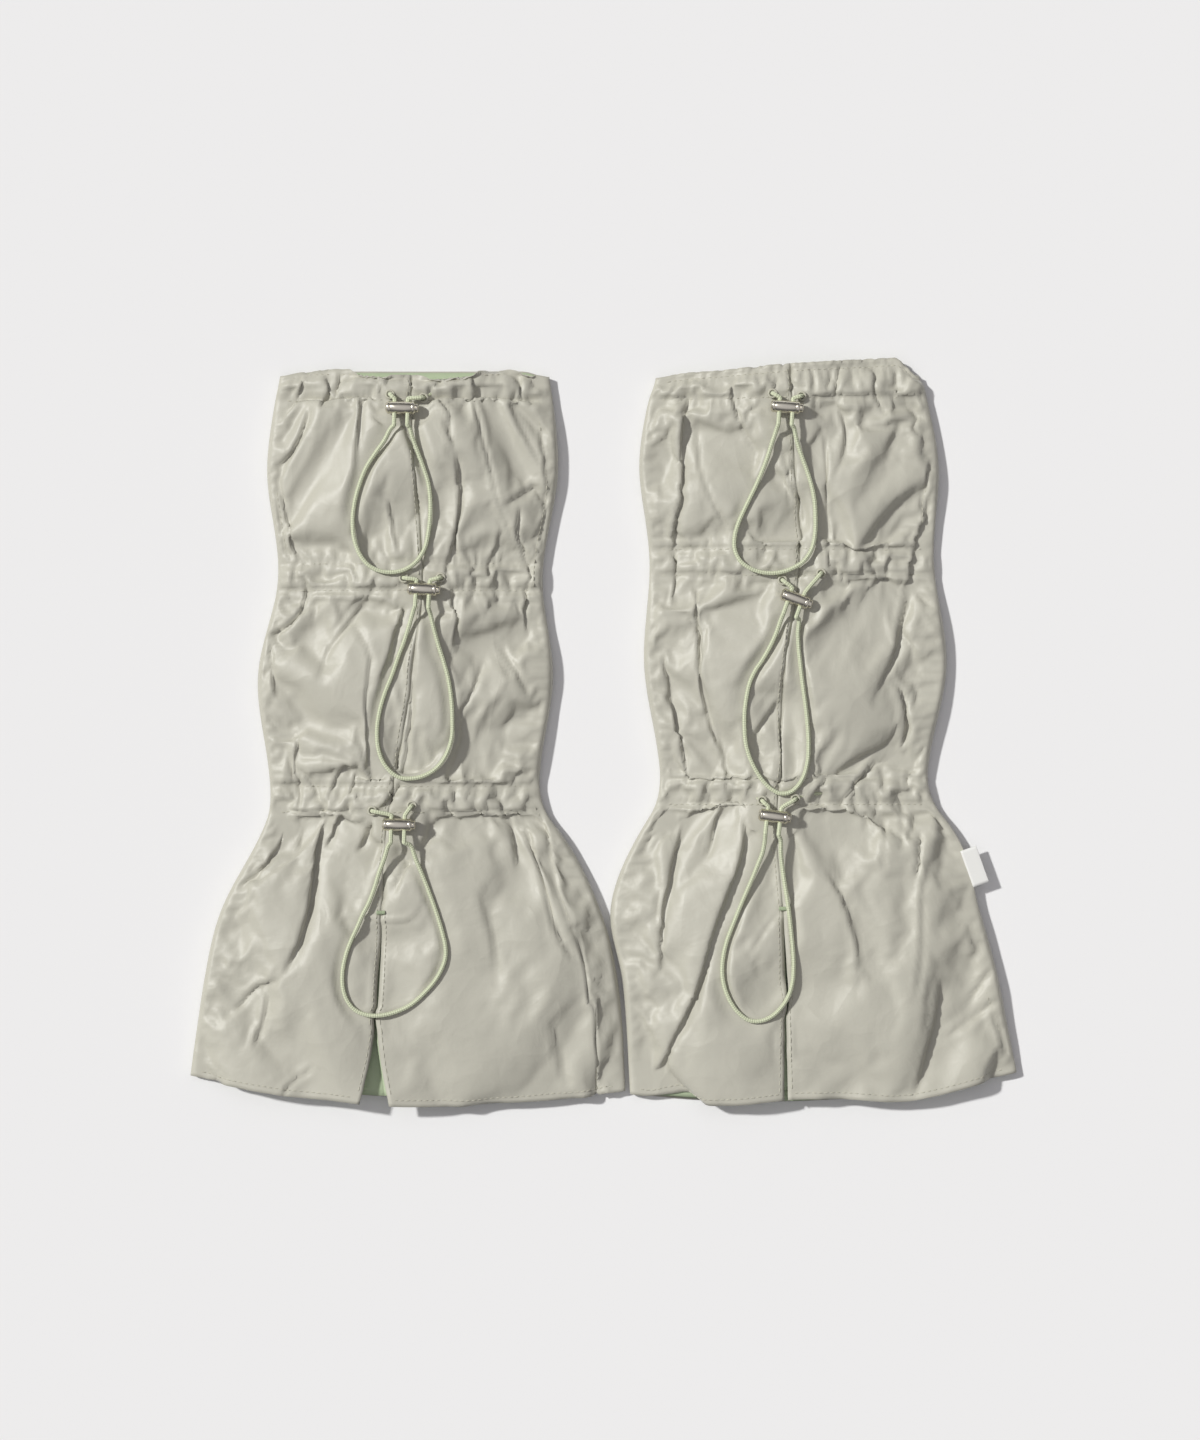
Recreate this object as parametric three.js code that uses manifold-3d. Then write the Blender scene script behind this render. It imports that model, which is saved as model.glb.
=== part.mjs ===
// A pair of lined drawcord gaiters, lying flat side by side with the front up.
// Millimetres. X runs across the pair, +Y towards the knee end, and Z = 0 is the surface they lie on.
// Each gaiter is a flattened tube of three outer panels and three lining panels. Three drawcords run
// in pockets between outer and lining, come out of two eyelets each beside the front seam, and pass
// through a two-hole cord lock into a loose loop.
import * as THREE from 'three';
import { mergeVertices } from 'three/addons/utils/BufferGeometryUtils.js';
import Module from 'manifold-3d';

const wasm = await Module();
wasm.setup();

// ---- Driving sizes of the fabric ----
const tubeHeight = 17; // the flattened tube, from the surface to its top face
const outerWall = 0.8;
const liningWall = 0.8;
const gap = 0.3; // clearance between pieces that lie on each other
const seamGap = 0.3; // between two panels that a seam joins
const pocketHalf = 12; // half of the length of lining that a cord casing pushes inwards
const pocketRamp = 6; // the length over which the lining comes back out

// ---- Driving sizes of the drawcords and eyelets ----
const cordRadius = 1.25;
const eyeletBore = 1.6;
const eyeletBarrel = 2.2;
const eyeletFlange = 2.7;
const eyeletCrown = 0.7; // how far the eyelet stands above the fabric
const runBend = 2; // centreline radius where a hidden cord turns up into its eyelet
const tailBend = 1.8; // centreline radius where the loose cord leaves its eyelet

// ---- Driving sizes of a cord lock ----
const lockRadius = 3.6;
const lockWall = 0.7;
const lockLength = 16.5; // the shell alone
const lockChamfer = 1;
const holePitch = 7.6;
const cordClearance = 0.3;
const plungerClearance = 0.3;
const plungerTravel = 1;
const buttonLength = 1.2; // what still stands out when the plunger is pressed home
const springWire = 0.19;
const springTurns = 2;
const lockTilt = THREE.MathUtils.degToRad(12); // the loop side is raised by this much
const lockTravel = 5; // straight strand kept for the lock to slide along
const leadIn = 1.3; // straight strand beyond the lock at both ends of its travel

// ---- Small trim ----
const tackSize = [5, 2, 0.7];
const labelSize = [9.5, 22, 0.8];
const labelSeat = 0.75; // from the side seam to the label's root

// ---- The pattern: widths of the flattened tube, from the knee end to the hem ----
const tubeWidth = {
  knee: 155,
  shin: 169,
  calf: 157,
  belly: 171,
  ankle: 153,
  instep: 172,
  gore: 200,
  slit: 215,
  skirt: 227,
  hem: 236,
};
const kneeToCalf = 108.5; // between the middles of the knee and calf casings
const calfToAnkle = 127;
const kneeEdge = 10; // from the middle of the knee casing to the knee edge
const ankleToSlit = 65.5;
const ankleToHem = 163;
const calfLine = 86.5; // Y of the calf casing's middle

// How each gaiter lies. centre is the X of the tube's middle and spread is what its gathers add to
// the pattern's width at that height. seam is the X of the front seam. lift moves a casing along Y.
// An end line is { rise: its right end above its left, sag: how far its middle bows towards the hem }.
const gaiters = [
  {
    name: 'left',
    lift: { knee: 0, calf: 0, ankle: 0 },
    centre: [-108.3, -109.5, -110.8, -113.5, -113.9, -110.6, -110.3, -110.6, -110.5, -112.2],
    spread: [-0.5, -2, -5.5, -2, 0.8, -1.6, 1.8, 3.8, 11, 13.5],
    seam: [-110, -108, -103, -108.5, -121.5, -124, -125.5, -127, -129.5, -132.5],
    kneeLine: { rise: 0, sag: 0 },
    hemLine: { rise: -9, sag: 8.5 },
    slitWidth: { knee: 0, skirt: 1, hem: 16 },
    slitRun: 0.62, // how far down the slit stays narrow, as a share of its length
  },
  {
    name: 'right',
    lift: { knee: 1.5, calf: 8.5, ankle: 4.5 },
    centre: [105.5, 106.3, 108, 110, 109.2, 110.9, 110.5, 109.8, 119, 126.1],
    spread: [-4, 2.5, 6, 2.7, -0.5, 2.5, -1, -3.5, -11, -14.2],
    seam: [107, 109, 112, 105, 100, 99, 100.5, 102.5, 104.8, 106.7],
    kneeLine: { rise: 10, sag: 0 },
    hemLine: { rise: 12.5, sag: 10 },
    slitWidth: { knee: 0, skirt: 1, hem: 2 },
    slitRun: 0.62,
  },
];
const levelNames = Object.keys(tubeWidth);

// The drawcords. Places are relative to where the front seam crosses the casing's middle.
// eyelets: left and right. lock: its middle, and its turn in plan in degrees.
// loop: the hand-laid route [x, y, lift above the fabric] from the left strand round to the right.
const drawcords = {
  left_knee: {
    eyelets: [[-12, -4.5], [7, -6.5]],
    lock: { x: -5.5, y: -12.5, turn: -1 },
    loop: [
      [-11.5, -24.5, 3.4], [-15, -31, 2.2], [-20, -38, 1.2], [-25.5, -46.5, 0.4], [-29.5, -56.5, 0],
      [-32.2, -67, 0], [-33.2, -77.5, 0], [-32.2, -87.5, 0.4], [-29, -96, 0.8], [-23.5, -102.5, 1],
      [-16.5, -105.6, 1], [-9.5, -106, 1], [-2.8, -104.2, 1], [3.5, -99.5, 0.8], [8, -92, 0.4],
      [10, -83, 0], [11, -73.5, 0], [11, -64, 0], [9.8, -55, 0], [7, -46, 0.4], [3.5, -36.5, 1.2],
      [0.8, -29, 2.2], [-0.8, -23.5, 3.2],
    ],
  },
  left_calf: {
    eyelets: [[-10.5, -0.7], [10.5, -0.5]],
    lock: { x: 0.5, y: -7.2, turn: -3 },
    loop: [
      [-4.5, -18.5, 3.4], [-7, -27, 2], [-10, -36.5, 0.8], [-13.8, -46.5, 0.2], [-17.2, -56.5, 0],
      [-21.2, -66.5, 0], [-24.1, -76.5, 0], [-25.6, -86.5, 0], [-25.2, -96.5, 0], [-22.8, -104.5, 0],
      [-18.6, -110.5, 0], [-13, -114.4, 0], [-6, -115, 0], [1.5, -113.3, 0], [8.5, -108.8, 0],
      [13.8, -101.5, 0], [17, -91.5, 0], [17.3, -81, 0], [16.8, -70.5, 0], [15, -58.5, 0],
      [12.5, -49, 0], [9.5, -39.5, 0.2], [7, -30.5, 1.2], [5, -22, 2.6],
    ],
  },
  left_ankle: {
    eyelets: [[-10.5, -6.5], [12, -3.5]],
    lock: { x: 4.3, y: -14.3, turn: -1 },
    loop: [
      [-1, -26, 3.2], [-3.6, -34, 1.8], [-6.4, -41.5, 0.8], [-9, -50, 0.2], [-12.2, -58.5, 0],
      [-16, -66, 0.6], [-19, -73, 0.4], [-22.5, -80.5, 0], [-25.5, -89, 0], [-27.3, -98.5, 0],
      [-27.1, -107, 0], [-24.7, -114.5, 0], [-20, -120, 0], [-13, -122.8, 0.3], [-5.5, -123, 0.3],
      [3, -121, 0], [11.5, -117, 0], [19.5, -110, 0], [26.5, -101.5, 0], [31, -91.5, 0],
      [31.4, -84.5, 0], [29.5, -75.5, 0], [26.5, -65.5, 0], [22.8, -55, 0], [18.8, -44.5, 0.4],
      [14.5, -34, 1.6], [11.4, -26, 2.8],
    ],
  },
  right_knee: {
    eyelets: [[-11, -5.5], [5.5, -7]],
    lock: { x: -3.5, y: -13.5, turn: -4 },
    loop: [
      [-9, -26.5, 3], [-11.5, -34, 1.8], [-14, -42, 0.8], [-17, -50, 0.2], [-20.2, -57.5, 0],
      [-23.8, -65, 0], [-27.3, -72.2, 0], [-30.5, -79.5, 0], [-32.6, -87, 0], [-32.6, -94.5, 0.2],
      [-29.5, -101, 0.6], [-23.5, -105.5, 0.8], [-16, -107.8, 0.8], [-8, -107.8, 0.8],
      [-0.5, -105.6, 0.8], [6.5, -101.3, 0.8], [11.3, -94, 0.4], [13.2, -85, 0], [13.4, -76, 0],
      [12.8, -66.5, 0], [11, -57.5, 0], [8.3, -49, 0], [5.2, -40.5, 0.6], [2.4, -32, 1.8],
      [0.9, -25.5, 3],
    ],
  },
  right_calf: {
    eyelets: [[-9.5, -10.5], [12.5, -6.5]],
    lock: { x: -2.2, y: -21.2, turn: -20 },
    loop: [
      [-10.8, -33.5, 3], [-13.5, -41.5, 1.6], [-17, -49, 0.6], [-21, -56, 0], [-25, -62, 0],
      [-28.2, -69, 0], [-30, -77, 0], [-31.1, -85.5, 0], [-31.2, -94, 0], [-30.6, -102.5, 0],
      [-28.6, -110.5, 0], [-25.2, -118, 0], [-21, -124.5, 0], [-16, -129.5, 0], [-10.7, -132, 0],
      [-5.2, -131.3, 0], [-0.6, -127.5, 0], [2.8, -121.5, 0], [4.8, -113.5, 0], [5.3, -104.5, 0],
      [4.9, -95, 0], [4, -85.5, 0], [2.8, -76, 0], [1.6, -67, 0], [0.6, -58, 0], [-0.3, -49.5, 0],
      [-0.8, -41, 0.8], [-0.4, -33, 2.4],
    ],
  },
  right_ankle: {
    eyelets: [[-9.5, -5.2], [9.5, -4.2]],
    lock: { x: -3, y: -14, turn: -7 },
    loop: [
      [-8.2, -27.5, 3], [-9.4, -34.5, 1.8], [-12, -41.5, 0.8], [-15, -49, 0.2], [-18.2, -56.5, 0],
      [-21.4, -64, 0], [-24.4, -71.5, 0], [-27.4, -79, 0], [-30, -86.5, 0], [-31.8, -95, 0],
      [-32.3, -103.5, 0], [-30.8, -112, 0], [-27.7, -119.5, 0], [-23, -126, 0], [-17.2, -130.2, 0],
      [-11.2, -130.8, 0], [-5.2, -128.8, 0], [0.5, -124, 0], [5, -117.5, 0], [7.5, -110, 0],
      [8.4, -101.5, 0], [8.2, -92.5, 0], [7.4, -83.5, 0.3], [6.3, -73.5, 1.1], [5, -63.5, 1.1],
      [3.4, -53.5, 0.4], [2, -43.5, 0.4], [1, -34.5, 1.8], [0.8, -27.5, 3],
    ],
  },
};

// ---- Materials ----
const fabricFinish = { roughness: 0.55, metalness: 0 };
const outerMaterial = new THREE.MeshStandardMaterial({ color: 0xcbc9bc, ...fabricFinish });
const liningMaterial = new THREE.MeshStandardMaterial({ color: 0xb4c3a3, ...fabricFinish });
const cordMaterial = new THREE.MeshStandardMaterial({ color: 0xc8cfaf, roughness: 0.7, metalness: 0 });
const threadMaterial = new THREE.MeshStandardMaterial({ color: 0xbdbbac, roughness: 0.8, metalness: 0 });
const tackMaterial = new THREE.MeshStandardMaterial({ color: 0xaebc9d, roughness: 0.8, metalness: 0 });
const nickelMaterial = new THREE.MeshStandardMaterial({ color: 0xb9b5a8, roughness: 0.25, metalness: 1 });
const steelMaterial = new THREE.MeshStandardMaterial({ color: 0x9a9a98, roughness: 0.35, metalness: 1 });
const labelMaterial = new THREE.MeshStandardMaterial({ color: 0xefefec, roughness: 0.8, metalness: 0 });

// ---- Mesh and boolean helpers ----
function meshOf(positions, triangles) {
  const geometry = new THREE.BufferGeometry();
  geometry.setAttribute('position', new THREE.Float32BufferAttribute(positions, 3));
  geometry.setIndex(triangles);
  return geometry;
}

function solidOf(geometry) {
  const bare = geometry.clone();
  bare.deleteAttribute('normal');
  bare.deleteAttribute('uv');
  const merged = mergeVertices(bare, 1e-4);
  const mesh = new wasm.Mesh({
    numProp: 3,
    vertProperties: new Float32Array(merged.attributes.position.array),
    triVerts: new Uint32Array(merged.index.array),
  });
  return new wasm.Manifold(mesh);
}

function geometryOf(solid) {
  const mesh = solid.getMesh();
  return meshOf(Array.from(mesh.vertProperties), Array.from(mesh.triVerts));
}

// A closed loft through rings of [x, y, z] points. Each ring is an outer line followed by the inner
// line backwards, so the two ends close with a strip of quads.
function loft(rings) {
  const count = rings[0].length;
  const positions = rings.flat(2);
  const triangles = [];
  for (let i = 0; i + 1 < rings.length; i++) {
    for (let j = 0; j < count; j++) {
      const a = i * count + j;
      const b = i * count + (j + 1) % count;
      triangles.push(a, b, a + count, b, b + count, a + count);
    }
  }
  const last = (rings.length - 1) * count;
  for (let j = 0; j + 1 < count / 2; j++) {
    const near = [j, j + 1, count - 2 - j, count - 1 - j];
    const far = near.map((index) => index + last);
    triangles.push(near[0], near[2], near[1], near[0], near[3], near[2]);
    triangles.push(far[0], far[1], far[2], far[0], far[2], far[3]);
  }
  const geometry = meshOf(positions, triangles);
  if (signedVolume(positions, triangles) < 0) {
    geometry.setIndex(triangles.reverse());
  }
  return geometry;
}

function signedVolume(positions, triangles) {
  const corner = (index) => new THREE.Vector3().fromArray(positions, 3 * index);
  let sum = 0;
  for (let i = 0; i < triangles.length; i += 3) {
    const [a, b, c] = triangles.slice(i, i + 3).map(corner);
    sum += a.dot(b.cross(c));
  }
  return sum / 6;
}

// A cord along a route, with one ring of the section at each of the route's own points.
class CordRoute extends THREE.CatmullRomCurve3 {
  getUtoTmapping(u) {
    return u;
  }
}

function tubeAlong(points, radius, sides) {
  const section = new THREE.Shape();
  for (let i = 0; i < sides; i++) {
    const angle = (2 * Math.PI * i) / sides;
    section[i ? 'lineTo' : 'moveTo'](radius * Math.cos(angle), radius * Math.sin(angle));
  }
  section.closePath();
  const route = new CordRoute(points.map((point) => new THREE.Vector3(...point)));
  return new THREE.ExtrudeGeometry(section, {
    steps: points.length - 1,
    extrudePath: route,
    curveSegments: 1,
  });
}

// ---- The shape of a gaiter ----
// A smooth curve through [y, value] points, given from high Y to low Y.
function smooth(points, y) {
  const slope = (i) => {
    const a = points[Math.max(i - 1, 0)];
    const b = points[Math.min(i + 1, points.length - 1)];
    return (b[1] - a[1]) / (b[0] - a[0]);
  };
  let i = 0;
  while (i < points.length - 2 && y < points[i + 1][0]) {
    i++;
  }
  const [y0, v0] = points[i];
  const [y1, v1] = points[i + 1];
  const span = y1 - y0;
  const t = (y - y0) / span;
  return (
    v0 * (1 + 2 * t) * (1 - t) ** 2
    + slope(i) * span * t * (1 - t) ** 2
    + v1 * t * t * (3 - 2 * t)
    - slope(i + 1) * span * t * t * (1 - t)
  );
}

function casingLines(gaiter) {
  return {
    knee: calfLine + kneeToCalf + gaiter.lift.knee,
    calf: calfLine + gaiter.lift.calf,
    ankle: calfLine - calfToAnkle + gaiter.lift.ankle,
  };
}

// The heights of the pattern's levels on this gaiter.
function levelHeights(gaiter) {
  const casing = casingLines(gaiter);
  const hem = calfLine - calfToAnkle - ankleToHem;
  const slit = calfLine - calfToAnkle - ankleToSlit + gaiter.lift.ankle / 2;
  const knee = calfLine + kneeToCalf + kneeEdge + gaiter.lift.knee * 2;
  return {
    knee,
    shin: (casing.knee + casing.calf) / 2 + 8,
    calf: casing.calf,
    belly: (casing.calf + casing.ankle) / 2 + 10,
    ankle: casing.ankle,
    instep: casing.ankle - (casing.ankle - slit) * 0.28,
    gore: casing.ankle - (casing.ankle - slit) * 0.66,
    slit,
    skirt: slit - (slit - hem) * 0.42,
    hem,
  };
}

// Sections are taken at these stations, and every surface is straight between two of them.
function stationsOf(gaiter) {
  const casing = casingLines(gaiter);
  const level = levelHeights(gaiter);
  const opens = level.slit - (level.slit - level.hem) * gaiter.slitRun;
  const square = casing.knee + 2 * cordRadius; // below this the knee edge's slant isn't felt
  const heights = [level.knee, square, level.shin, level.belly, level.slit, level.skirt, opens, level.hem];
  for (const middle of Object.values(casing)) {
    for (const away of [pocketHalf + pocketRamp, pocketHalf, -pocketHalf, -pocketHalf - pocketRamp]) {
      if (middle + away < level.knee - 1) {
        heights.push(middle + away);
      }
    }
  }
  const curve = (values) => levelNames.map((name, i) => [level[name], values[i]]);
  const widths = levelNames.map((name, i) => tubeWidth[name] + gaiter.spread[i]);
  return heights.sort((a, b) => b - a).map((y) => {
    const centre = smooth(curve(gaiter.centre), y);
    const width = smooth(curve(widths), y);
    return {
      y,
      left: centre - width / 2,
      right: centre + width / 2,
      seam: smooth(curve(gaiter.seam), y),
      slit: slitWidthAt(gaiter, y, level.slit, opens, level.hem),
      pocket: pocketAt(casing, y),
    };
  });
}

function slitWidthAt(gaiter, y, slitTop, opens, hem) {
  const { skirt, hem: wide } = gaiter.slitWidth;
  if (y > slitTop - 1) {
    return 0;
  }
  return y > opens - 1 ? skirt : THREE.MathUtils.mapLinear(y, opens, hem, skirt, wide);
}

// 1 where a casing pushes the lining in, 0 where the lining lies on the outer.
function pocketAt(casing, y) {
  const nearest = Math.min(...Object.values(casing).map((middle) => Math.abs(y - middle)));
  const ramp = (pocketHalf + pocketRamp - nearest) / pocketRamp;
  return THREE.MathUtils.clamp(ramp, 0, 1);
}

function between(stations, y) {
  let i = 0;
  while (i < stations.length - 2 && y < stations[i + 1].y) {
    i++;
  }
  const a = stations[i];
  const b = stations[i + 1];
  const t = (y - a.y) / (b.y - a.y);
  const mix = (key) => a[key] + (b[key] - a[key]) * t;
  return { left: mix('left'), right: mix('right'), seam: mix('seam') };
}

// The knee and hem edges are cut to a gentle line, so their stations bend with X.
function endShift(gaiter, station, isKnee, isHem, x) {
  if (!isKnee && !isHem) {
    return 0;
  }
  const line = isKnee ? gaiter.kneeLine : gaiter.hemLine;
  const t = (2 * x - station.left - station.right) / (station.right - station.left);
  return (line.rise * t) / 2 - line.sag * (1 - t * t);
}

// One line of a panel's section at a station, inset from the tube's outside. It runs from the side
// seam round the fold and, on a front panel, up to the front seam.
const foldAngles = [0, 30, 60, 90];

function foldPoint(station, side, inset, degrees) {
  const reach = tubeHeight / 2 - inset;
  const least = Math.asin(seamGap / 2 / reach);
  const turn = THREE.MathUtils.degToRad(degrees);
  const angle = degrees === 0 ? least : turn;
  const middle = side < 0 ? station.left + tubeHeight / 2 : station.right - tubeHeight / 2;
  return [middle + side * reach * Math.cos(angle), reach * Math.sin(angle)];
}

function frontLine(station, side, inset) {
  const line = foldAngles.map((degrees) => {
    const [x, up] = foldPoint(station, side, inset, degrees);
    return [x, tubeHeight / 2 + up];
  });
  const edge = station.seam + (side * (seamGap + station.slit)) / 2;
  line.push([edge, tubeHeight - inset]);
  return line;
}

function backLine(station, inset) {
  const fold = (side) => foldAngles.map((degrees) => {
    const [x, up] = foldPoint(station, side, inset, degrees);
    return [x, tubeHeight / 2 - up];
  });
  return [...fold(-1), [station.seam, inset], ...fold(1).reverse()];
}

function panel(gaiter, stations, wall, insetOf, lineOf) {
  const rings = stations.map((station, i) => {
    const inset = insetOf(station);
    const ring = [...lineOf(station, inset), ...lineOf(station, inset + wall).reverse()];
    const isKnee = i === 0;
    const isHem = i === stations.length - 1;
    return ring.map(([x, z]) => [x, station.y + endShift(gaiter, station, isKnee, isHem, x), z]);
  });
  return loft(rings);
}

// ---- The drawcords ----
const runInset = outerWall + gap + cordRadius;
const pocketInset = runInset + cordRadius + gap;
const liningInset = outerWall + gap;
const cordRest = gap + cordRadius; // centreline height of a cord lying on the fabric
const lockHeight = tubeHeight + gap + lockRadius;

function placeOf(gaiter, stations, casingName) {
  const y = casingLines(gaiter)[casingName];
  return { x: between(stations, y).seam, y };
}

// The part of a drawcord inside its casing: up into the left eyelet, round the back of the leg and
// up into the right eyelet.
function hiddenRun(stations, place, eyelets) {
  const { left, right } = between(stations, place.y);
  const station = { left, right };
  const level = tubeHeight - runInset;
  const bendTop = level + runBend;
  const reach = 14;
  const half = (side, eyelet) => {
    const x = place.x + eyelet[0];
    const y = place.y + eyelet[1];
    const away = new THREE.Vector2(side * reach, place.y - y).normalize();
    const points = [[x, y, tubeHeight + gap]];
    for (const degrees of [0, 45, 90]) {
      const turn = THREE.MathUtils.degToRad(degrees);
      const out = runBend * (1 - Math.cos(turn));
      points.push([x + away.x * out, y + away.y * out, bendTop - runBend * Math.sin(turn)]);
    }
    points.push([x + side * reach, place.y, level]);
    for (const degrees of [90, 60, 30]) {
      const [foldX, up] = foldPoint(station, side, runInset, degrees);
      points.push([foldX, place.y, tubeHeight / 2 + up]);
    }
    points.push([(side < 0 ? left : right) - side * runInset, place.y, tubeHeight / 2]);
    for (const degrees of [30, 60, 90]) {
      const [foldX, up] = foldPoint(station, side, runInset, degrees);
      points.push([foldX, place.y, tubeHeight / 2 - up]);
    }
    return points;
  };
  const points = [...half(-1, eyelets[0]), ...half(1, eyelets[1]).reverse()];
  return tubeAlong(points, cordRadius, 8);
}

// A point of the lock's own frame, whose X is the barrel and whose -Y is the loop side.
function lockPoint(place, lock, local) {
  const point = new THREE.Vector3(...local);
  point.applyEuler(lockTurn(lock));
  point.add(new THREE.Vector3(place.x + lock.x, place.y + lock.y, lockHeight));
  return point.toArray();
}

function lockTurn(lock) {
  return new THREE.Euler(-lockTilt, 0, THREE.MathUtils.degToRad(lock.turn), 'ZYX');
}

// The loose part: out of the left eyelet, through the lock, round the loop and back.
function looseLoop(place, { eyelets, lock, loop }) {
  const nearSide = lockRadius + gap;
  const farSide = -lockRadius - lockTravel - gap;
  const strand = [nearSide + leadIn, nearSide, 0, farSide, farSide - leadIn];
  const tail = (side, eyelet) => {
    const x = place.x + eyelet[0];
    const y = place.y + eyelet[1];
    const through = strand.map((along) => lockPoint(place, lock, [(side * holePitch) / 2, along, 0]));
    const towards = new THREE.Vector2(through[0][0] - x, through[0][1] - y).normalize();
    const start = tubeHeight + eyeletCrown + 0.4;
    const points = [];
    for (const degrees of [0, 45, 90]) {
      const turn = THREE.MathUtils.degToRad(degrees);
      const out = tailBend * (1 - Math.cos(turn));
      points.push([x + towards.x * out, y + towards.y * out, start + tailBend * Math.sin(turn)]);
    }
    return [...points, ...through];
  };
  const laid = loop.map(([x, y, lift]) => [place.x + x, place.y + y, tubeHeight + cordRest + lift]);
  const points = [...tail(-1, eyelets[0]), ...laid, ...tail(1, eyelets[1]).reverse()];
  return tubeAlong(points, cordRadius, 8);
}

// ---- The eyelets ----
function eyelet() {
  const below = -outerWall;
  const profile = [
    [eyeletBore, below],
    [eyeletBarrel, below],
    [eyeletBarrel, gap],
    [eyeletFlange, gap],
    [eyeletFlange - 0.2, eyeletCrown],
    [eyeletBore, eyeletCrown],
    [eyeletBore, below],
  ].map(([radius, height]) => new THREE.Vector2(radius, height));
  const ring = new THREE.LatheGeometry(profile, 10);
  ring.rotateX(Math.PI / 2);
  return ring;
}

function punchEyelets(geometry, place, eyelets) {
  let solid = solidOf(geometry);
  for (const [x, y] of eyelets) {
    const hole = new THREE.CylinderGeometry(eyeletBarrel + gap, eyeletBarrel + gap, 4, 10);
    hole.rotateX(Math.PI / 2);
    hole.translate(place.x + x, place.y + y, tubeHeight - outerWall / 2);
    solid = solid.subtract(solidOf(hole));
  }
  return geometryOf(solid);
}

// ---- The cord lock: shell, plunger and spring on a barrel along X ----
const shellEnd = lockLength / 2 + 0.5; // the closed end, to the left of the holes
const boreRadius = lockRadius - lockWall;
const plungerRadius = boreRadius - plungerClearance;
const holeRadius = cordRadius + cordClearance;
const plungerEnd = -holePitch / 2 - holeRadius - 0.8;
const barrelSides = 12;
const springSpace = [-shellEnd + lockWall, plungerEnd];

function barrel(profile, sides) {
  const geometry = new THREE.LatheGeometry(profile.map((point) => new THREE.Vector2(...point)), sides);
  geometry.rotateZ(-Math.PI / 2);
  return geometry;
}

function slot(x, length, depth) {
  const outline = new THREE.Shape();
  outline.moveTo(x - length / 2, -holeRadius);
  outline.lineTo(x + length / 2, -holeRadius);
  outline.absarc(x + length / 2, 0, holeRadius, -Math.PI / 2, Math.PI / 2, false);
  outline.lineTo(x - length / 2, holeRadius);
  outline.absarc(x - length / 2, 0, holeRadius, Math.PI / 2, (3 * Math.PI) / 2, false);
  const geometry = new THREE.ExtrudeGeometry(outline, { depth, bevelEnabled: false, curveSegments: 3 });
  geometry.translate(0, 0, -depth / 2);
  geometry.rotateX(Math.PI / 2);
  return geometry;
}

function lockShell() {
  const open = lockLength - shellEnd;
  let solid = solidOf(barrel([
    [0, -shellEnd],
    [lockRadius - lockChamfer, -shellEnd],
    [lockRadius, -shellEnd + lockChamfer],
    [lockRadius, open - lockChamfer],
    [lockRadius - lockChamfer / 2, open],
    [boreRadius, open],
    [boreRadius, -shellEnd + lockWall],
    [0, -shellEnd + lockWall],
  ], barrelSides));
  for (const side of [-1, 1]) {
    solid = solid.subtract(solidOf(slot((side * holePitch) / 2, 0.01, 3 * lockRadius)));
  }
  return geometryOf(solid);
}

function lockPlunger() {
  const open = lockLength - shellEnd;
  const end = open + plungerTravel + buttonLength;
  let solid = solidOf(barrel([
    [0, plungerEnd],
    [plungerRadius, plungerEnd],
    [plungerRadius, end - 0.6],
    [plungerRadius - 0.6, end],
    [0, end],
  ], barrelSides));
  for (const side of [-1, 1]) {
    const middle = (side * holePitch) / 2 + plungerTravel / 2;
    solid = solid.subtract(solidOf(slot(middle, plungerTravel, 3 * lockRadius)));
  }
  return geometryOf(solid);
}

function lockSpring() {
  const points = [];
  const perTurn = 8;
  const coil = plungerRadius - springWire - 0.2;
  const start = springSpace[0] + springWire + 0.1;
  const end = springSpace[1] - springWire - 0.1;
  for (let i = 0; i <= springTurns * perTurn; i++) {
    const turn = (2 * Math.PI * i) / perTurn;
    const along = start + ((end - start) * i) / (springTurns * perTurn);
    points.push([along, coil * Math.cos(turn), coil * Math.sin(turn)]);
  }
  return tubeAlong(points, springWire, 4);
}

// ---- Assembly ----
const pair = new THREE.Group();

function add(parent, name, geometry, material) {
  const mesh = new THREE.Mesh(geometry, material);
  mesh.name = name;
  parent.add(mesh);
  return mesh;
}

function addPanels(gaiter, stations, places) {
  const outerInset = () => 0;
  const liningDepth = (station) => THREE.MathUtils.lerp(liningInset, pocketInset, station.pocket);
  for (const [side, word, index] of [[-1, 'left', 0], [1, 'right', 1]]) {
    const line = (station, inset) => frontLine(station, side, inset);
    let outer = panel(gaiter, stations, outerWall, outerInset, line);
    for (const casingName of Object.keys(places)) {
      const eyelets = drawcords[`${gaiter.name}_${casingName}`].eyelets;
      outer = punchEyelets(outer, places[casingName], [eyelets[index]]);
    }
    add(pair, `${gaiter.name}_outer_front_${word}`, outer, outerMaterial);
    const lining = panel(gaiter, stations, liningWall, liningDepth, line);
    add(pair, `${gaiter.name}_lining_front_${word}`, lining, liningMaterial);
  }
  const outerBack = panel(gaiter, stations, outerWall, outerInset, backLine);
  add(pair, `${gaiter.name}_outer_back`, outerBack, outerMaterial);
  const liningBack = panel(gaiter, stations, liningWall, liningDepth, backLine);
  add(pair, `${gaiter.name}_lining_back`, liningBack, liningMaterial);
}

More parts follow.
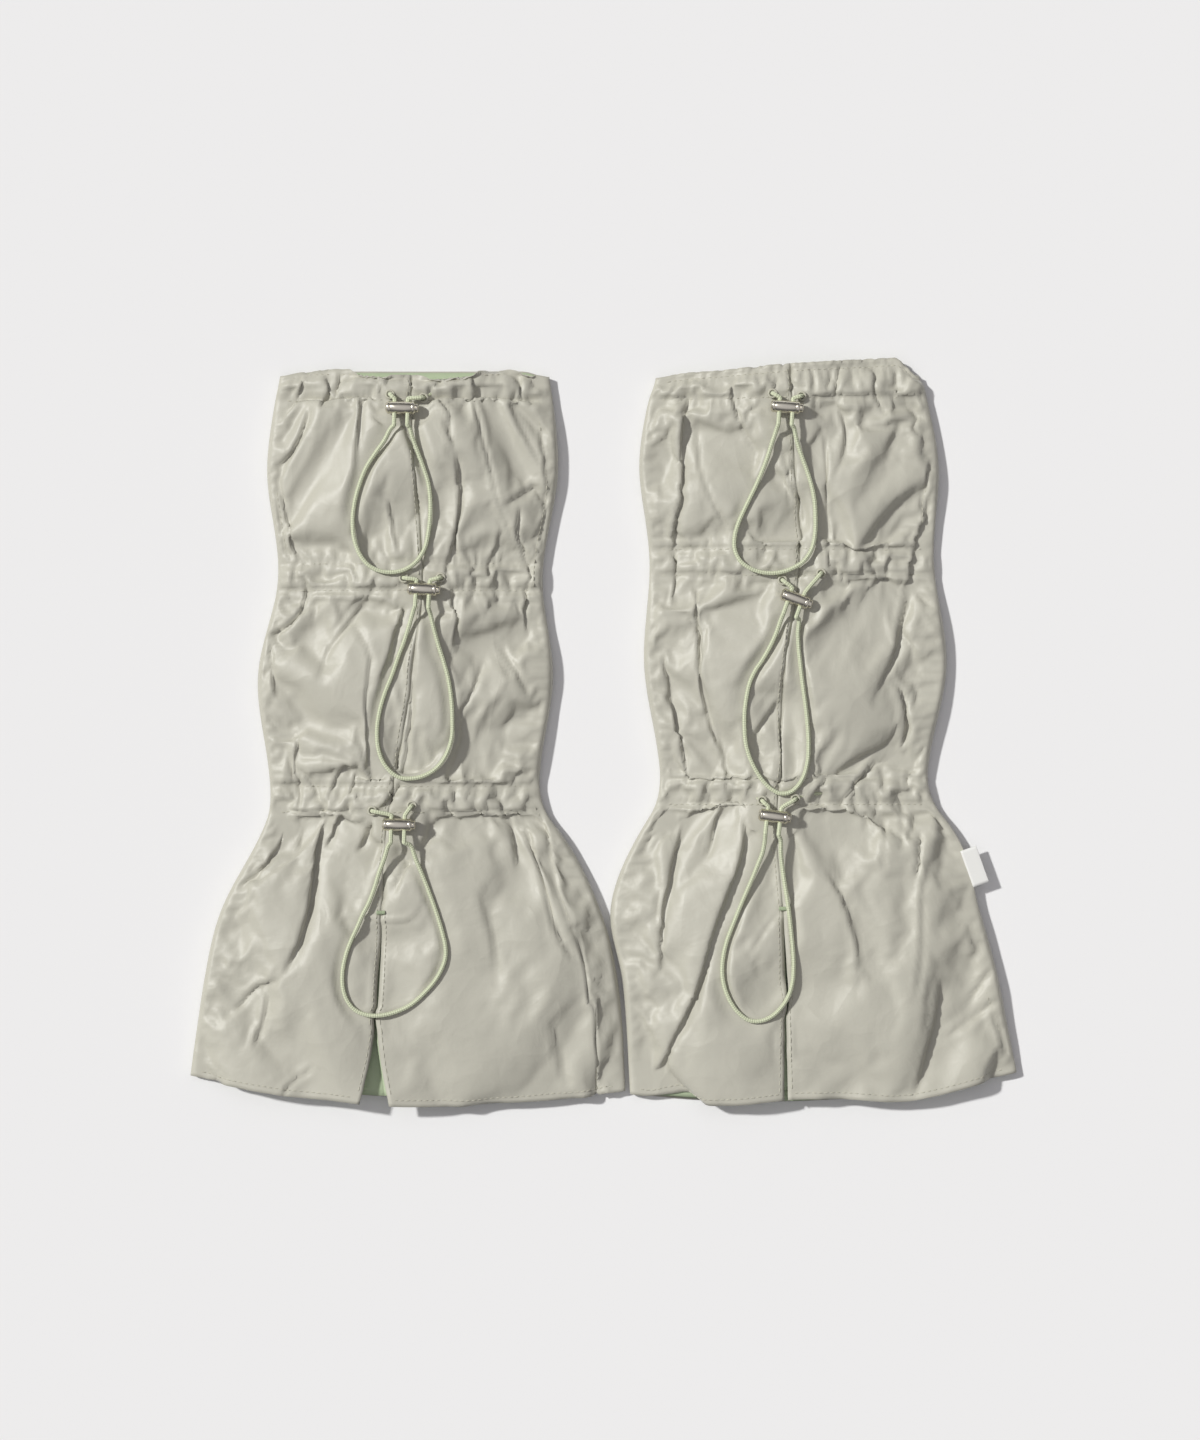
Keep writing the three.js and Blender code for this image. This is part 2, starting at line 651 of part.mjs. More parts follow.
function addDrawcord(name, stations, place) {
  const cord = drawcords[name];
  add(pair, `${name}_cord_run`, hiddenRun(stations, place, cord.eyelets), cordMaterial);
  add(pair, `${name}_cord_loop`, looseLoop(place, cord), cordMaterial);
  for (const [word, [x, y]] of [['left', cord.eyelets[0]], ['right', cord.eyelets[1]]]) {
    const ring = add(pair, `${name}_eyelet_${word}`, eyelet(), threadMaterial);
    ring.position.set(place.x + x, place.y + y, tubeHeight);
  }
  const lock = new THREE.Group();
  lock.position.set(place.x + cord.lock.x, place.y + cord.lock.y, lockHeight);
  lock.rotation.copy(lockTurn(cord.lock));
  add(lock, `${name}_lock_shell`, lockShell(), nickelMaterial);
  add(lock, `${name}_lock_plunger`, lockPlunger(), nickelMaterial);
  add(lock, `${name}_lock_spring`, lockSpring(), steelMaterial);
  pair.add(lock);
}

function addSlitTack(gaiter, stations) {
  const top = levelHeights(gaiter).slit;
  const [length, wide, thick] = tackSize;
  const tack = add(pair, `${gaiter.name}_slit_tack`, new THREE.BoxGeometry(length, wide, thick), tackMaterial);
  tack.position.set(between(stations, top).seam, top + wide / 2, tubeHeight + gap + thick / 2);
}

// A folded woven label caught in the right-hand side seam of the right gaiter's skirt.
function addSideLabel(stations) {
  const y = levelHeights(gaiters[1]).gore;
  const [reach, along, thick] = labelSize;
  const below = between(stations, y - along / 2).right;
  const above = between(stations, y + along / 2).right;
  const lean = Math.atan2(below - above, along);
  const root = Math.max(between(stations, y).right, (below + above) / 2) + labelSeat;
  const label = new THREE.BoxGeometry(reach, along, thick);
  label.translate(reach / 2, 0, 0);
  const mesh = add(pair, 'right_side_label', label, labelMaterial);
  mesh.position.set(root, y, tubeHeight / 2);
  mesh.rotation.z = lean;
}

for (const gaiter of gaiters) {
  const stations = stationsOf(gaiter);
  const places = {};
  for (const casingName of Object.keys(gaiter.lift)) {
    places[casingName] = placeOf(gaiter, stations, casingName);
  }
  addPanels(gaiter, stations, places);
  for (const [casingName, place] of Object.entries(places)) {
    addDrawcord(`${gaiter.name}_${casingName}`, stations, place);
  }
  addSlitTack(gaiter, stations);
  if (gaiter.name === 'right') {
    addSideLabel(stations);
  }
}

export default pair;
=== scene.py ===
# A pair of lined drawcord gaiters lying flat: the visible pieces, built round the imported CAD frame.
# Lengths are in millimetres while shapes are worked out, and every mesh is made in metres.
import math

import bpy
import numpy as np
from mathutils import Matrix, Vector


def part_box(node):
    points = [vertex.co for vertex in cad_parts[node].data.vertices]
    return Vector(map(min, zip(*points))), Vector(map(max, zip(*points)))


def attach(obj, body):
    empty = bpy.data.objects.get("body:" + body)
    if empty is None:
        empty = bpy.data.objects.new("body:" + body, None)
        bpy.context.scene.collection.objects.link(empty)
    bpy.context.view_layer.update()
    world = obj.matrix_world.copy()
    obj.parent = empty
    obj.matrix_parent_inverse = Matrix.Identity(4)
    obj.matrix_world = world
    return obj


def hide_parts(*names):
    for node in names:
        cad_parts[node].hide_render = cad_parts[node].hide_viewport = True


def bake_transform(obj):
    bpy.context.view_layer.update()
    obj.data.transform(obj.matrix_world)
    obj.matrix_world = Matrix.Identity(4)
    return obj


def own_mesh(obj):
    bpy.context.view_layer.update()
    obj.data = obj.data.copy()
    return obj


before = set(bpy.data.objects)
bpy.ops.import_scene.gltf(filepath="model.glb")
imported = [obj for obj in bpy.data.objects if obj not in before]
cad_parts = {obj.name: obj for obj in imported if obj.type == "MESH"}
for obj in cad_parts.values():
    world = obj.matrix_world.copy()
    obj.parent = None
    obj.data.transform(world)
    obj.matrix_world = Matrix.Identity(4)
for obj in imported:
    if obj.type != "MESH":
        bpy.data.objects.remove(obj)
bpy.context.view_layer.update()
MM = 0.001

# ---- Camera: straight down, with the knee ends up ----
VIEW_CENTRE = (-2.0, 4.8)
VIEW_HEIGHT = 821.0  # what the frame's long side shows at the fabric
CAMERA_RISE = 2000.0
SENSOR = 36.0
FABRIC_TOP = 17.0

camera_data = bpy.data.cameras.new("camera")
camera_data.sensor_width = SENSOR
camera_data.lens = SENSOR * CAMERA_RISE / VIEW_HEIGHT
camera = bpy.data.objects.new("camera", camera_data)
camera.location = (VIEW_CENTRE[0] * MM, VIEW_CENTRE[1] * MM, (CAMERA_RISE + FABRIC_TOP) * MM)
bpy.context.scene.collection.objects.link(camera)
bpy.context.scene.camera = camera

# ---- The drawcords: places are relative to where the front seam crosses the casing ----
CORD_RADIUS = 1.25
EYELET_CROWN = 0.7
TAIL_BEND = 1.8
LOCK_RADIUS = 3.6
HOLE_PITCH = 7.6
LOCK_TRAVEL = 5.0
LEAD_IN = 1.3
LOCK_TILT = math.radians(12)
GAP = 0.3
CASINGS = ("knee", "calf", "ankle")
DRAWCORDS = {
    "left_knee": {
        "length": 0.246,
        "eyelets": [(-12, -4.5), (7, -6.5)],
        "lock": (-5.5, -12.5, -1),
        "loop": [
            (-11.5, -24.5, 3.4), (-15, -31, 2.2), (-20, -38, 1.2), (-25.5, -46.5, 0.4), (-29.5, -56.5, 0),
            (-32.2, -67, 0), (-33.2, -77.5, 0), (-32.2, -87.5, 0.4), (-29, -96, 0.8), (-23.5, -102.5, 1),
            (-16.5, -105.6, 1), (-9.5, -106, 1), (-2.8, -104.2, 1), (3.5, -99.5, 0.8), (8, -92, 0.4),
            (10, -83, 0), (11, -73.5, 0), (11, -64, 0), (9.8, -55, 0), (7, -46, 0.4), (3.5, -36.5, 1.2),
            (0.8, -29, 2.2), (-0.8, -23.5, 3.2),
        ],
    },
    "left_calf": {
        "length": 0.272,
        "eyelets": [(-10.5, -0.7), (10.5, -0.5)],
        "lock": (0.5, -7.2, -3),
        "loop": [
            (-4.5, -18.5, 3.4), (-7, -27, 2), (-10, -36.5, 0.8), (-13.8, -46.5, 0.2), (-17.2, -56.5, 0),
            (-21.2, -66.5, 0), (-24.1, -76.5, 0), (-25.6, -86.5, 0), (-25.2, -96.5, 0), (-22.8, -104.5, 0),
            (-18.6, -110.5, 0), (-13, -114.4, 0), (-6, -115, 0), (1.5, -113.3, 0), (8.5, -108.8, 0),
            (13.8, -101.5, 0), (17, -91.5, 0), (17.3, -81, 0), (16.8, -70.5, 0), (15, -58.5, 0),
            (12.5, -49, 0), (9.5, -39.5, 0.2), (7, -30.5, 1.2), (5, -22, 2.6),
        ],
    },
    "left_ankle": {
        "length": 0.295,
        "eyelets": [(-10.5, -6.5), (12, -3.5)],
        "lock": (4.3, -14.3, -1),
        "loop": [
            (-1, -26, 3.2), (-3.6, -34, 1.8), (-6.4, -41.5, 0.8), (-9, -50, 0.2), (-12.2, -58.5, 0),
            (-16, -66, 0.6), (-19, -73, 0.4), (-22.5, -80.5, 0), (-25.5, -89, 0), (-27.3, -98.5, 0),
            (-27.1, -107, 0), (-24.7, -114.5, 0), (-20, -120, 0), (-13, -122.8, 0.3), (-5.5, -123, 0.3),
            (3, -121, 0), (11.5, -117, 0), (19.5, -110, 0), (26.5, -101.5, 0), (31, -91.5, 0),
            (31.4, -84.5, 0), (29.5, -75.5, 0), (26.5, -65.5, 0), (22.8, -55, 0), (18.8, -44.5, 0.4),
            (14.5, -34, 1.6), (11.4, -26, 2.8),
        ],
    },
    "right_knee": {
        "length": 0.249,
        "eyelets": [(-11, -5.5), (5.5, -7)],
        "lock": (-3.5, -13.5, -4),
        "loop": [
            (-9, -26.5, 3), (-11.5, -34, 1.8), (-14, -42, 0.8), (-17, -50, 0.2), (-20.2, -57.5, 0),
            (-23.8, -65, 0), (-27.3, -72.2, 0), (-30.5, -79.5, 0), (-32.6, -87, 0), (-32.6, -94.5, 0.2),
            (-29.5, -101, 0.6), (-23.5, -105.5, 0.8), (-16, -107.8, 0.8), (-8, -107.8, 0.8),
            (-0.5, -105.6, 0.8), (6.5, -101.3, 0.8), (11.3, -94, 0.4), (13.2, -85, 0), (13.4, -76, 0),
            (12.8, -66.5, 0), (11, -57.5, 0), (8.3, -49, 0), (5.2, -40.5, 0.6), (2.4, -32, 1.8),
            (0.9, -25.5, 3),
        ],
    },
    "right_calf": {
        "length": 0.281,
        "eyelets": [(-9.5, -10.5), (12.5, -6.5)],
        "lock": (-2.2, -21.2, -20),
        "loop": [
            (-10.8, -33.5, 3), (-13.5, -41.5, 1.6), (-17, -49, 0.6), (-21, -56, 0), (-25, -62, 0),
            (-28.2, -69, 0), (-30, -77, 0), (-31.1, -85.5, 0), (-31.2, -94, 0), (-30.6, -102.5, 0),
            (-28.6, -110.5, 0), (-25.2, -118, 0), (-21, -124.5, 0), (-16, -129.5, 0), (-10.7, -132, 0),
            (-5.2, -131.3, 0), (-0.6, -127.5, 0), (2.8, -121.5, 0), (4.8, -113.5, 0), (5.3, -104.5, 0),
            (4.9, -95, 0), (4, -85.5, 0), (2.8, -76, 0), (1.6, -67, 0), (0.6, -58, 0), (-0.3, -49.5, 0),
            (-0.8, -41, 0.8), (-0.4, -33, 2.4),
        ],
    },
    "right_ankle": {
        "length": 0.287,
        "eyelets": [(-9.5, -5.2), (9.5, -4.2)],
        "lock": (-3, -14, -7),
        "loop": [
            (-8.2, -27.5, 3), (-9.4, -34.5, 1.8), (-12, -41.5, 0.8), (-15, -49, 0.2), (-18.2, -56.5, 0),
            (-21.4, -64, 0), (-24.4, -71.5, 0), (-27.4, -79, 0), (-30, -86.5, 0), (-31.8, -95, 0),
            (-32.3, -103.5, 0), (-30.8, -112, 0), (-27.7, -119.5, 0), (-23, -126, 0), (-17.2, -130.2, 0),
            (-11.2, -130.8, 0), (-5.2, -128.8, 0), (0.5, -124, 0), (5, -117.5, 0), (7.5, -110, 0),
            (8.4, -101.5, 0), (8.2, -92.5, 0), (7.4, -83.5, 0.3), (6.3, -73.5, 1.1), (5, -63.5, 1.1),
            (3.4, -53.5, 0.4), (2, -43.5, 0.4), (1, -34.5, 1.8), (0.8, -27.5, 3),
        ],
    },
}


def node_centre(node):
    """The middle of a CAD node's box, in millimetres."""
    low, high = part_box(node)
    return np.array((low + high) / 2) / MM


def casing_place(name):
    """Where the front seam crosses this drawcord's casing."""
    eyelet = DRAWCORDS[name]["eyelets"][0]
    return node_centre(f"{name}_eyelet_left")[:2] - np.array(eyelet)


def lock_matrix(name):
    """A lock's own frame: X along the barrel, and -Y towards the loop."""
    x, y, turn = DRAWCORDS[name]["lock"]
    place = casing_place(name)
    centre = Vector((place[0] + x, place[1] + y, FABRIC_TOP + GAP + LOCK_RADIUS))
    turned = Matrix.Rotation(math.radians(turn), 4, "Z") @ Matrix.Rotation(-LOCK_TILT, 4, "X")
    return Matrix.Translation(centre) @ turned


def spline(points, spacing):
    """Points about spacing apart on a smooth curve through the given points (centripetal Catmull-Rom)."""
    p = np.array(points, float)
    p = np.vstack([2 * p[0] - p[1], p, 2 * p[-1] - p[-2]])
    found = []
    for a, b, c, d in zip(p, p[1:], p[2:], p[3:]):
        spans = [math.sqrt(np.linalg.norm(x)) for x in (b - a, c - b, d - c)]
        t0, t1, t2, t3 = np.cumsum([0.0, *spans])
        count = max(1, round(np.linalg.norm(c - b) / spacing))
        for t in np.linspace(t1, t2, count, endpoint=False):
            a1 = ((t1 - t) * a + (t - t0) * b) / (t1 - t0)
            a2 = ((t2 - t) * b + (t - t1) * c) / (t2 - t1)
            a3 = ((t3 - t) * c + (t - t2) * d) / (t3 - t2)
            b1 = ((t2 - t) * a1 + (t - t0) * a2) / (t2 - t0)
            b2 = ((t3 - t) * a2 + (t - t1) * a3) / (t3 - t1)
            found.append(((t2 - t) * b1 + (t - t1) * b2) / (t2 - t1))
    found.append(p[-2])
    return np.array(found)


def loop_route(name):
    """The loose part of a drawcord: left eyelet, lock, loop, lock, right eyelet."""
    cord = DRAWCORDS[name]
    place = casing_place(name)
    matrix = lock_matrix(name)
    near = LOCK_RADIUS + GAP
    far = -LOCK_RADIUS - LOCK_TRAVEL - GAP
    strand = (near + LEAD_IN, near, 0, far, far - LEAD_IN)

    def tail(side, eyelet):
        start = place + np.array(eyelet)
        through = [np.array(matrix @ Vector((side * HOLE_PITCH / 2, along, 0))) for along in strand]
        towards = through[0][:2] - start
        towards = towards / np.linalg.norm(towards)
        rise = FABRIC_TOP + EYELET_CROWN + 0.4
        points = []
        for degrees in (0, 45, 90):
            turn = math.radians(degrees)
            out = start + towards * TAIL_BEND * (1 - math.cos(turn))
            points.append(np.array([*out, rise + TAIL_BEND * math.sin(turn)]))
        return points + through

    rest = FABRIC_TOP + GAP + CORD_RADIUS
    laid = [np.array([place[0] + x, place[1] + y, rest + lift]) for x, y, lift in cord["loop"]]
    return tail(-1, cord["eyelets"][0]) + laid + tail(1, cord["eyelets"][1])[::-1]


# ---- Mesh helpers ----
def mesh_piece(name, points, faces, slot, body, stands_for=(), uv=None):
    """A mesh in metres from points in millimetres, with its slot's look, riding on a body if given."""
    mesh = bpy.data.meshes.new(name)
    mesh.from_pydata((np.asarray(points, float) * MM).tolist(), [], [list(map(int, f)) for f in faces])
    mesh.validate()
    if uv is not None:
        layer = mesh.uv_layers.new(name="UVMap")
        loops = np.zeros(len(mesh.loops), np.int32)
        mesh.loops.foreach_get("vertex_index", loops)
        layer.data.foreach_set("uv", np.asarray(uv, np.float32)[loops].ravel())
    mesh.polygons.foreach_set("use_smooth", [True] * len(mesh.polygons))
    mesh.materials.append(MATERIALS[slot])
    piece = bpy.data.objects.new(name, mesh)
    bpy.context.scene.collection.objects.link(piece)
    if body:
        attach(piece, body)
    if stands_for:
        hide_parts(*stands_for)
    return piece


def grid_faces(rows, columns, flip=False, wrap=False):
    faces = []
    across = columns if wrap else columns - 1
    for i in range(rows - 1):
        for j in range(across):
            k = (j + 1) % columns
            face = (i * columns + j, i * columns + k, (i + 1) * columns + k, (i + 1) * columns + j)
            faces.append(face[::-1] if flip else face)
    return faces


def tube(route, radius, sides):
    """Points, faces and UVs of a round tube. U runs round it and V is in millimetres along it."""
    route = np.asarray(route, float)
    ahead = np.gradient(route, axis=0)
    ahead /= np.linalg.norm(ahead, axis=1)[:, None]
    lengths = np.concatenate([[0], np.cumsum(np.linalg.norm(np.diff(route, axis=0), axis=1))])
    side = np.cross(ahead[0], (0.0, 0.0, 1.0))
    if np.linalg.norm(side) < 0.1:
        side = np.cross(ahead[0], (0.0, 1.0, 0.0))
    points, uv = [], []
    for here, along, far in zip(route, ahead, lengths):
        side = side - along * (side @ along)
        side = side / np.linalg.norm(side)
        up = np.cross(side, along)
        for k in range(sides):
            angle = 2 * math.pi * k / sides
            points.append(here + radius * (math.cos(angle) * side + math.sin(angle) * up))
            uv.append((k / sides, far))
    faces = grid_faces(len(route), sides, wrap=True)
    faces.append(tuple(range(sides))[::-1])
    last = (len(route) - 1) * sides
    faces.append(tuple(last + k for k in range(sides)))
    return points, faces, uv


# ---- The outline of each gaiter, read from the frame ----
def node_points(node):
    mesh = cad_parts[node].data
    points = np.zeros(len(mesh.vertices) * 3)
    mesh.vertices.foreach_get("co", points)
    return np.unique(np.round(points.reshape(-1, 3) / MM, 2), axis=0)


def smooth_line(line, y):
    """A smooth curve through (y, value) points, given from high y to low y."""
    heights, values = line[::-1, 0], line[::-1, 1]
    slopes = np.gradient(values, heights)
    y = np.clip(y, heights[0], heights[-1])
    i = np.clip(np.searchsorted(heights, y) - 1, 0, len(heights) - 2)
    span = heights[i + 1] - heights[i]
    t = (y - heights[i]) / span
    return (
        values[i] * (1 + 2 * t) * (1 - t) ** 2
        + slopes[i] * span * t * (1 - t) ** 2
        + values[i + 1] * t * t * (3 - 2 * t)
        - slopes[i + 1] * span * t * t * (1 - t)
    )


def step(x, low, high):
    """0 below low, 1 above high, and smooth between."""
    t = np.clip((x - low) / (high - low), 0, 1)
    return t * t * (3 - 2 * t)


def bump(x, width):
    return np.exp(-((x / width) ** 2))


# Topstitching along the side seams, where they lie on the front.
SEAM_ROWS = {
    "left": [
        [(-37, 175), (-32.6, 141), (-35, 110), (-35, 78)],
        [(-36.5, -45), (-28, -88), (-17, -125), (-9, -168), (-7.6, -203)],
        [(-187, 135), (-184, 111), (-181, 100)],
    ],
    "right": [
        [(186, 150), (181, 120), (177, 97)],
        [(219, -150), (226, -172), (231, -190)],
    ],
}


class Outline:
    """Where the side seams, front seam, casings and ends of a gaiter run."""

    def __init__(self, name):
        self.name = name
        self.casings = {c: float(casing_place(f"{name}_{c}")[1]) for c in CASINGS}
        self.slit_top = float(node_centre(f"{name}_slit_tack")[1])
        back = node_points(f"{name}_outer_back")
        heights, counts = np.unique(back[:, 1], return_counts=True)
        self.above = self.casings["knee"] + 3.5  # only the knee edge is above this
        self.below = heights[0] + 20  # and only the hem is below this
        self.stations = [y for y in heights[counts >= 8][::-1] if self.below < y < self.above]
        ends = (back[back[:, 1] > self.above], back[back[:, 1] < self.below])
        self.knee, self.hem = [
            (end[end[:, 0].argmin(), 1] + end[end[:, 0].argmax(), 1]) / 2 for end in ends
        ]
        self.knee_line, self.hem_line = [np.polyfit(end[:, 0], end[:, 1], 2) for end in ends]
        front_left = node_points(f"{name}_outer_front_left")
        front_right = node_points(f"{name}_outer_front_right")
        self.left = self.edge(back, -1)
        self.right = self.edge(back, 1)
        self.seam_left = self.edge(front_left, 1)
        self.seam_right = self.edge(front_right, -1)

    def edge(self, points, side):
        """The outermost points on one side, station by station."""
        rows = [(y, points[np.abs(points[:, 1] - y) < 0.02]) for y in self.stations]
        rows.insert(0, (self.knee, points[points[:, 1] > self.above]))
        rows.append((self.hem, points[points[:, 1] < self.below]))
        return np.array([(y, (row[:, 0] * side).max() * side) for y, row in rows if len(row)])

    def at(self, y):
        """Left side seam, left and right of the front seam, and right side seam at these heights."""
        return [smooth_line(line, y) for line in (self.left, self.seam_left, self.seam_right, self.right)]


# ---- How the fabric lies ----
# A fold is (route, width, depth). The cloth stands up along the route and drops away on the side that
# is to the route's left when it is followed, which for a route towards the hem is the right-hand side.
FOLDS = {
    "left": [
        ([(-86.6, 156), (-84.5, 126), (-87, 108), (-91, 90)], 3.5, 3.2),
        ([(-94, 171), (-90, 162), (-86.6, 154)], 3, 1.8),
        ([(-139.5, 184), (-142, 150), (-143.5, 125), (-145, 97)], 5, 1.8),
        ([(-169, 183), (-173, 170), (-180, 158), (-190, 149)], 4.5, 2.8),
        ([(-188, 145), (-183, 126), (-178, 108), (-176, 94)], 1.8, 2),
        ([(-172, 86), (-173, 72), (-182, 60), (-198, 51)], 3.4, 3.4),
        ([(-192.5, 50), (-190, 30), (-188, 12)], 3, 2),
        ([(-171, 1), (-180.5, -4), (-190, -2)], 2, 1.3),
        ([(-176, -4), (-176, -24), (-175, -46)], 1.6, 1.8),
        ([(-176, -23), (-170, -28), (-164, -38)], 1.8, 1.4),
        ([(-148, -18), (-153, -27), (-158, -38)], 2.2, 2),
        ([(-141.7, -23), (-144, -32), (-147, -40)], 2, 1.7),
        ([(-131, 82), (-146, 62), (-159, 46), (-165.5, 22)], 7, 2.2),
        ([(-111.5, 80), (-119, 58), (-124.5, 39), (-130, 24)], 5, 2.8),
        ([(-107, 50), (-111, 10), (-113.6, -15), (-115.8, -30)], 2.2, 1.6),
        ([(-115, -28), (-124, -39), (-130, -47), (-134, -55)], 4, 3.4),
        ([(-88.8, 84), (-86, 66), (-84.8, 44)], 2, 2.2),
        ([(-64, 50), (-52, 34), (-42, 13)], 5, 1.4),
        ([(-46.7, 82), (-46, 68), (-44.5, 50)], 2, 2.2),
        ([(-50, 128), (-51, 110), (-46, 96), (-41, 81)], 2.2, 2.6),
        ([(-37, 142), (-50, 134), (-62, 126)], 5, 2.4),
        ([(-77, 189), (-70, 158), (-63, 130), (-54, 108), (-43.5, 83)], 1.8, 0.9),
        ([(-124, 130), (-121, 112), (-117, 98)], 3, 1.3),
        ([(-139.5, 56), (-134.5, 41), (-137, 11), (-133, -34)], 2.2, 1.2),
        ([(-68, 40), (-75, 22), (-84, 4)], 1.6, 0.9),
        ([(-172, 200), (-176, 190), (-179, 180)], 2.2, 2.4),
        ([(-158, 199), (-160, 188), (-162, 178)], 2.2, 2.4),
        ([(-151.5, 203), (-153, 196), (-154, 188)], 1.8, 1.8),
        ([(-102, 186), (-93, 180), (-89, 170), (-90, 160)], 2, 1.4),
        ([(-181, -49), (-189, -69), (-200, -82), (-211, -92)], 4, 3.2),
        ([(-160, -47), (-166, -72), (-169.8, -100), (-176, -122), (-185.5, -143)], 5.5, 4.8),
        ([(-184, -142), (-199, -145.5), (-206, -152), (-215, -162)], 3.2, 2.8),
        ([(-175, -50), (-175.5, -60), (-177, -72)], 3.5, 2.8),
        ([(-150, -49), (-155, -59), (-160, -73)], 4, 3.2),
        ([(-133, -51), (-138, -61), (-143, -73)], 4, 3.2),
        ([(-100, -51), (-103, -61), (-111.4, -71), (-119, -86), (-124.4, -100)], 3.5, 3),
        ([(-94, -83), (-103, -98), (-111, -109), (-124, -110.5), (-137, -108), (-148, -108.5)], 1.8, 1.5),
        ([(-59, -47), (-57, -62), (-54, -86)], 4.5, 3.2),
        ([(-50, -48), (-44.5, -73), (-37, -100), (-29.4, -123), (-16.4, -143)], 2.8, 2.2),
        ([(-38, -163), (-33, -182), (-27, -202)], 4, 1.7),
        ([(-193, -148), (-196, -165), (-202, -182)], 4, 1.6),
        ([(-165, -186), (-178, -194), (-187, -207)], 2, 1.7),
        ([(-120, -112), (-100, -124), (-88, -132)], 1.6, 0.8),
        ([(-78, -90), (-70, -115), (-66, -152)], 8, 1.4),
        ([(-12, -139), (-5, -146), (1, -152)], 2, 1.3),
    ],
    "right": [
        ([(49, 201), (45.5, 175), (44.5, 150), (43, 130), (38.5, 107), (39.5, 90), (38, 68)], 4, 4),
        ([(54, 178), (55, 148), (62, 128), (75, 103)], 1.8, 1.4),
        ([(71.5, 202), (72.5, 188), (76, 176), (88, 152)], 2.6, 1.8),
        ([(99, 168), (104, 146), (111, 128), (116, 111)], 2, 1.7),
        ([(114, 181), (123, 170), (126, 150), (126.5, 110), (128, 87)], 1.6, 0.9),
        ([(132, 185), (136, 166), (132, 145)], 4, 1.6),
        ([(188, 145), (181, 120), (175, 97), (171, 70), (163, 40), (150, 14)], 5.5, 4.4),
        ([(51, 86), (53, 44), (58, 10), (66, -15), (72.5, -34)], 7, 2.2),
        ([(33, 44), (38, 15), (44, -11), (51.6, -35)], 3, 2.8),
        ([(55, 84), (62, 30), (70, -28)], 1.6, 0.9),
        ([(102, 21), (92, 9), (85, 0), (81, -24)], 5, 2.6),
        ([(167, 26), (170, 14), (171, 2), (169, -12)], 2.6, 2.4),
        ([(170, -12), (154, -20), (142, -32), (132, -46)], 2.4, 3.2),
        ([(128, -27), (121, -35), (114, -45)], 2, 2),
        ([(171.4, -14), (172.5, -26), (173, -38)], 1.8, 1.7),
        ([(79, -46), (78.5, -72), (70, -97), (62, -118), (52, -148), (45, -165), (33, -191)], 6, 5.2),
        ([(48, -51), (38.5, -77), (33, -108), (31, -142)], 6, 2.2),
        ([(66, -50), (62, -64), (58, -79)], 3, 2.2),
        ([(102, -102), (94, -112), (83, -130)], 2, 1.5),
        ([(123, -81), (134, -98), (141, -120), (145, -139)], 6, 2),
        ([(178, -57), (176.5, -70), (175, -88)], 2.6, 2.8),
        ([(180, -88), (179, -125), (173.6, -159)], 3, 1.4),
        ([(191, -139), (188, -162), (180, -185), (173.6, -205)], 6, 3),
        ([(222, -135), (214, -146), (206, -158)], 3, 2.2),
        ([(225, -154), (208, -166), (190, -176)], 2, 1.7),
        ([(158, -47), (157.5, -65), (157, -86)], 2.5, 1.9),
        ([(168, -47), (167, -62), (166, -73)], 2.5, 2.2),
        ([(148, -46), (146, -61)], 2.5, 1.7),
        ([(134, 206), (132, 196), (130, 189)], 1.8, 2.2),
        ([(99, 203), (97, 198), (96, 192)], 2, 2.2),
        ([(153, 203), (155, 188), (162, 179)], 2, 1.6),
        ([(109, 197), (106, 194), (102, 190)], 2, 2.6),
    ],
}
# Every casing's gathers: (how many on each side, depth, shortest and longest reach), above and below it.
GATHERS = {
    "knee": [(24, 1.1, 4, 10), (24, 1.4, 8, 34)],
    "calf": [(22, 1.3, 8, 34), (22, 1.4, 8, 36)],
    "ankle": [(22, 1.5, 8, 34), (22, 2.2, 12, 60)],
}
BAND_HALF = 7.5  # from a casing's middle to either of its stitch rows
BAND_DIP = 1.5
BAND_DIP_REACH = 9
BAND_SWELL = 1.1
STITCH_DIP = 0.8
SIDE_ROLL = 3.8  # how far a side seam's rounding reaches inwards
SEAM_HEIGHT = 4.6  # of the side seams
ROLL_TOP = 8.8  # of the front just inside its side seams
PLATEAU_RUN = 62.0  # from a side seam to where the front is at its full height
HEM_DROP = 3.5
KNEE_DROP = 2.0
CLOTH = 0.45  # thickness
LINING_GAP = 1.0
POCKET = 3.4  # how much deeper the lining lies behind a casing
BACK_HEIGHT = 0.7
FRONT_LINING_LOW = 4.1  # the front's lining stays above this
BACK_LINING_HIGH = 3.7  # and the back's below this, except where it swells up behind the slit
STITCH = 2.3  # length of one topstitch
STITCH_PITCH = 3.3
TACK_THREAD_RADIUS = 0.24
THREAD_RADIUS = 0.25


def route_distance(x, y, route):
    """Signed distance from a smooth route, its normal there, and how far along it the nearest point is."""
    line = spline(route, 4.0)[:, :2]
    best = np.full(x.shape, 1e9)
    signed, along = np.zeros(x.shape), np.zeros(x.shape)
    normal = np.zeros((*x.shape, 2))
    for i, (a, b) in enumerate(zip(line, line[1:])):
        d = b - a
        size = np.linalg.norm(d)
        t = np.clip(((x - a[0]) * d[0] + (y - a[1]) * d[1]) / size**2, 0, 1)
        px, py = x - a[0] - t * d[0], y - a[1] - t * d[1]
        distance = np.hypot(px, py)
        near = distance < best
        best = np.where(near, distance, best)
        side = np.sign(d[0] * py - d[1] * px)
        signed = np.where(near, distance * side, signed)
        along = np.where(near, (i + t) / (len(line) - 1), along)
        normal[near] = (-d[1] / size, d[0] / size)
    return signed, normal, along


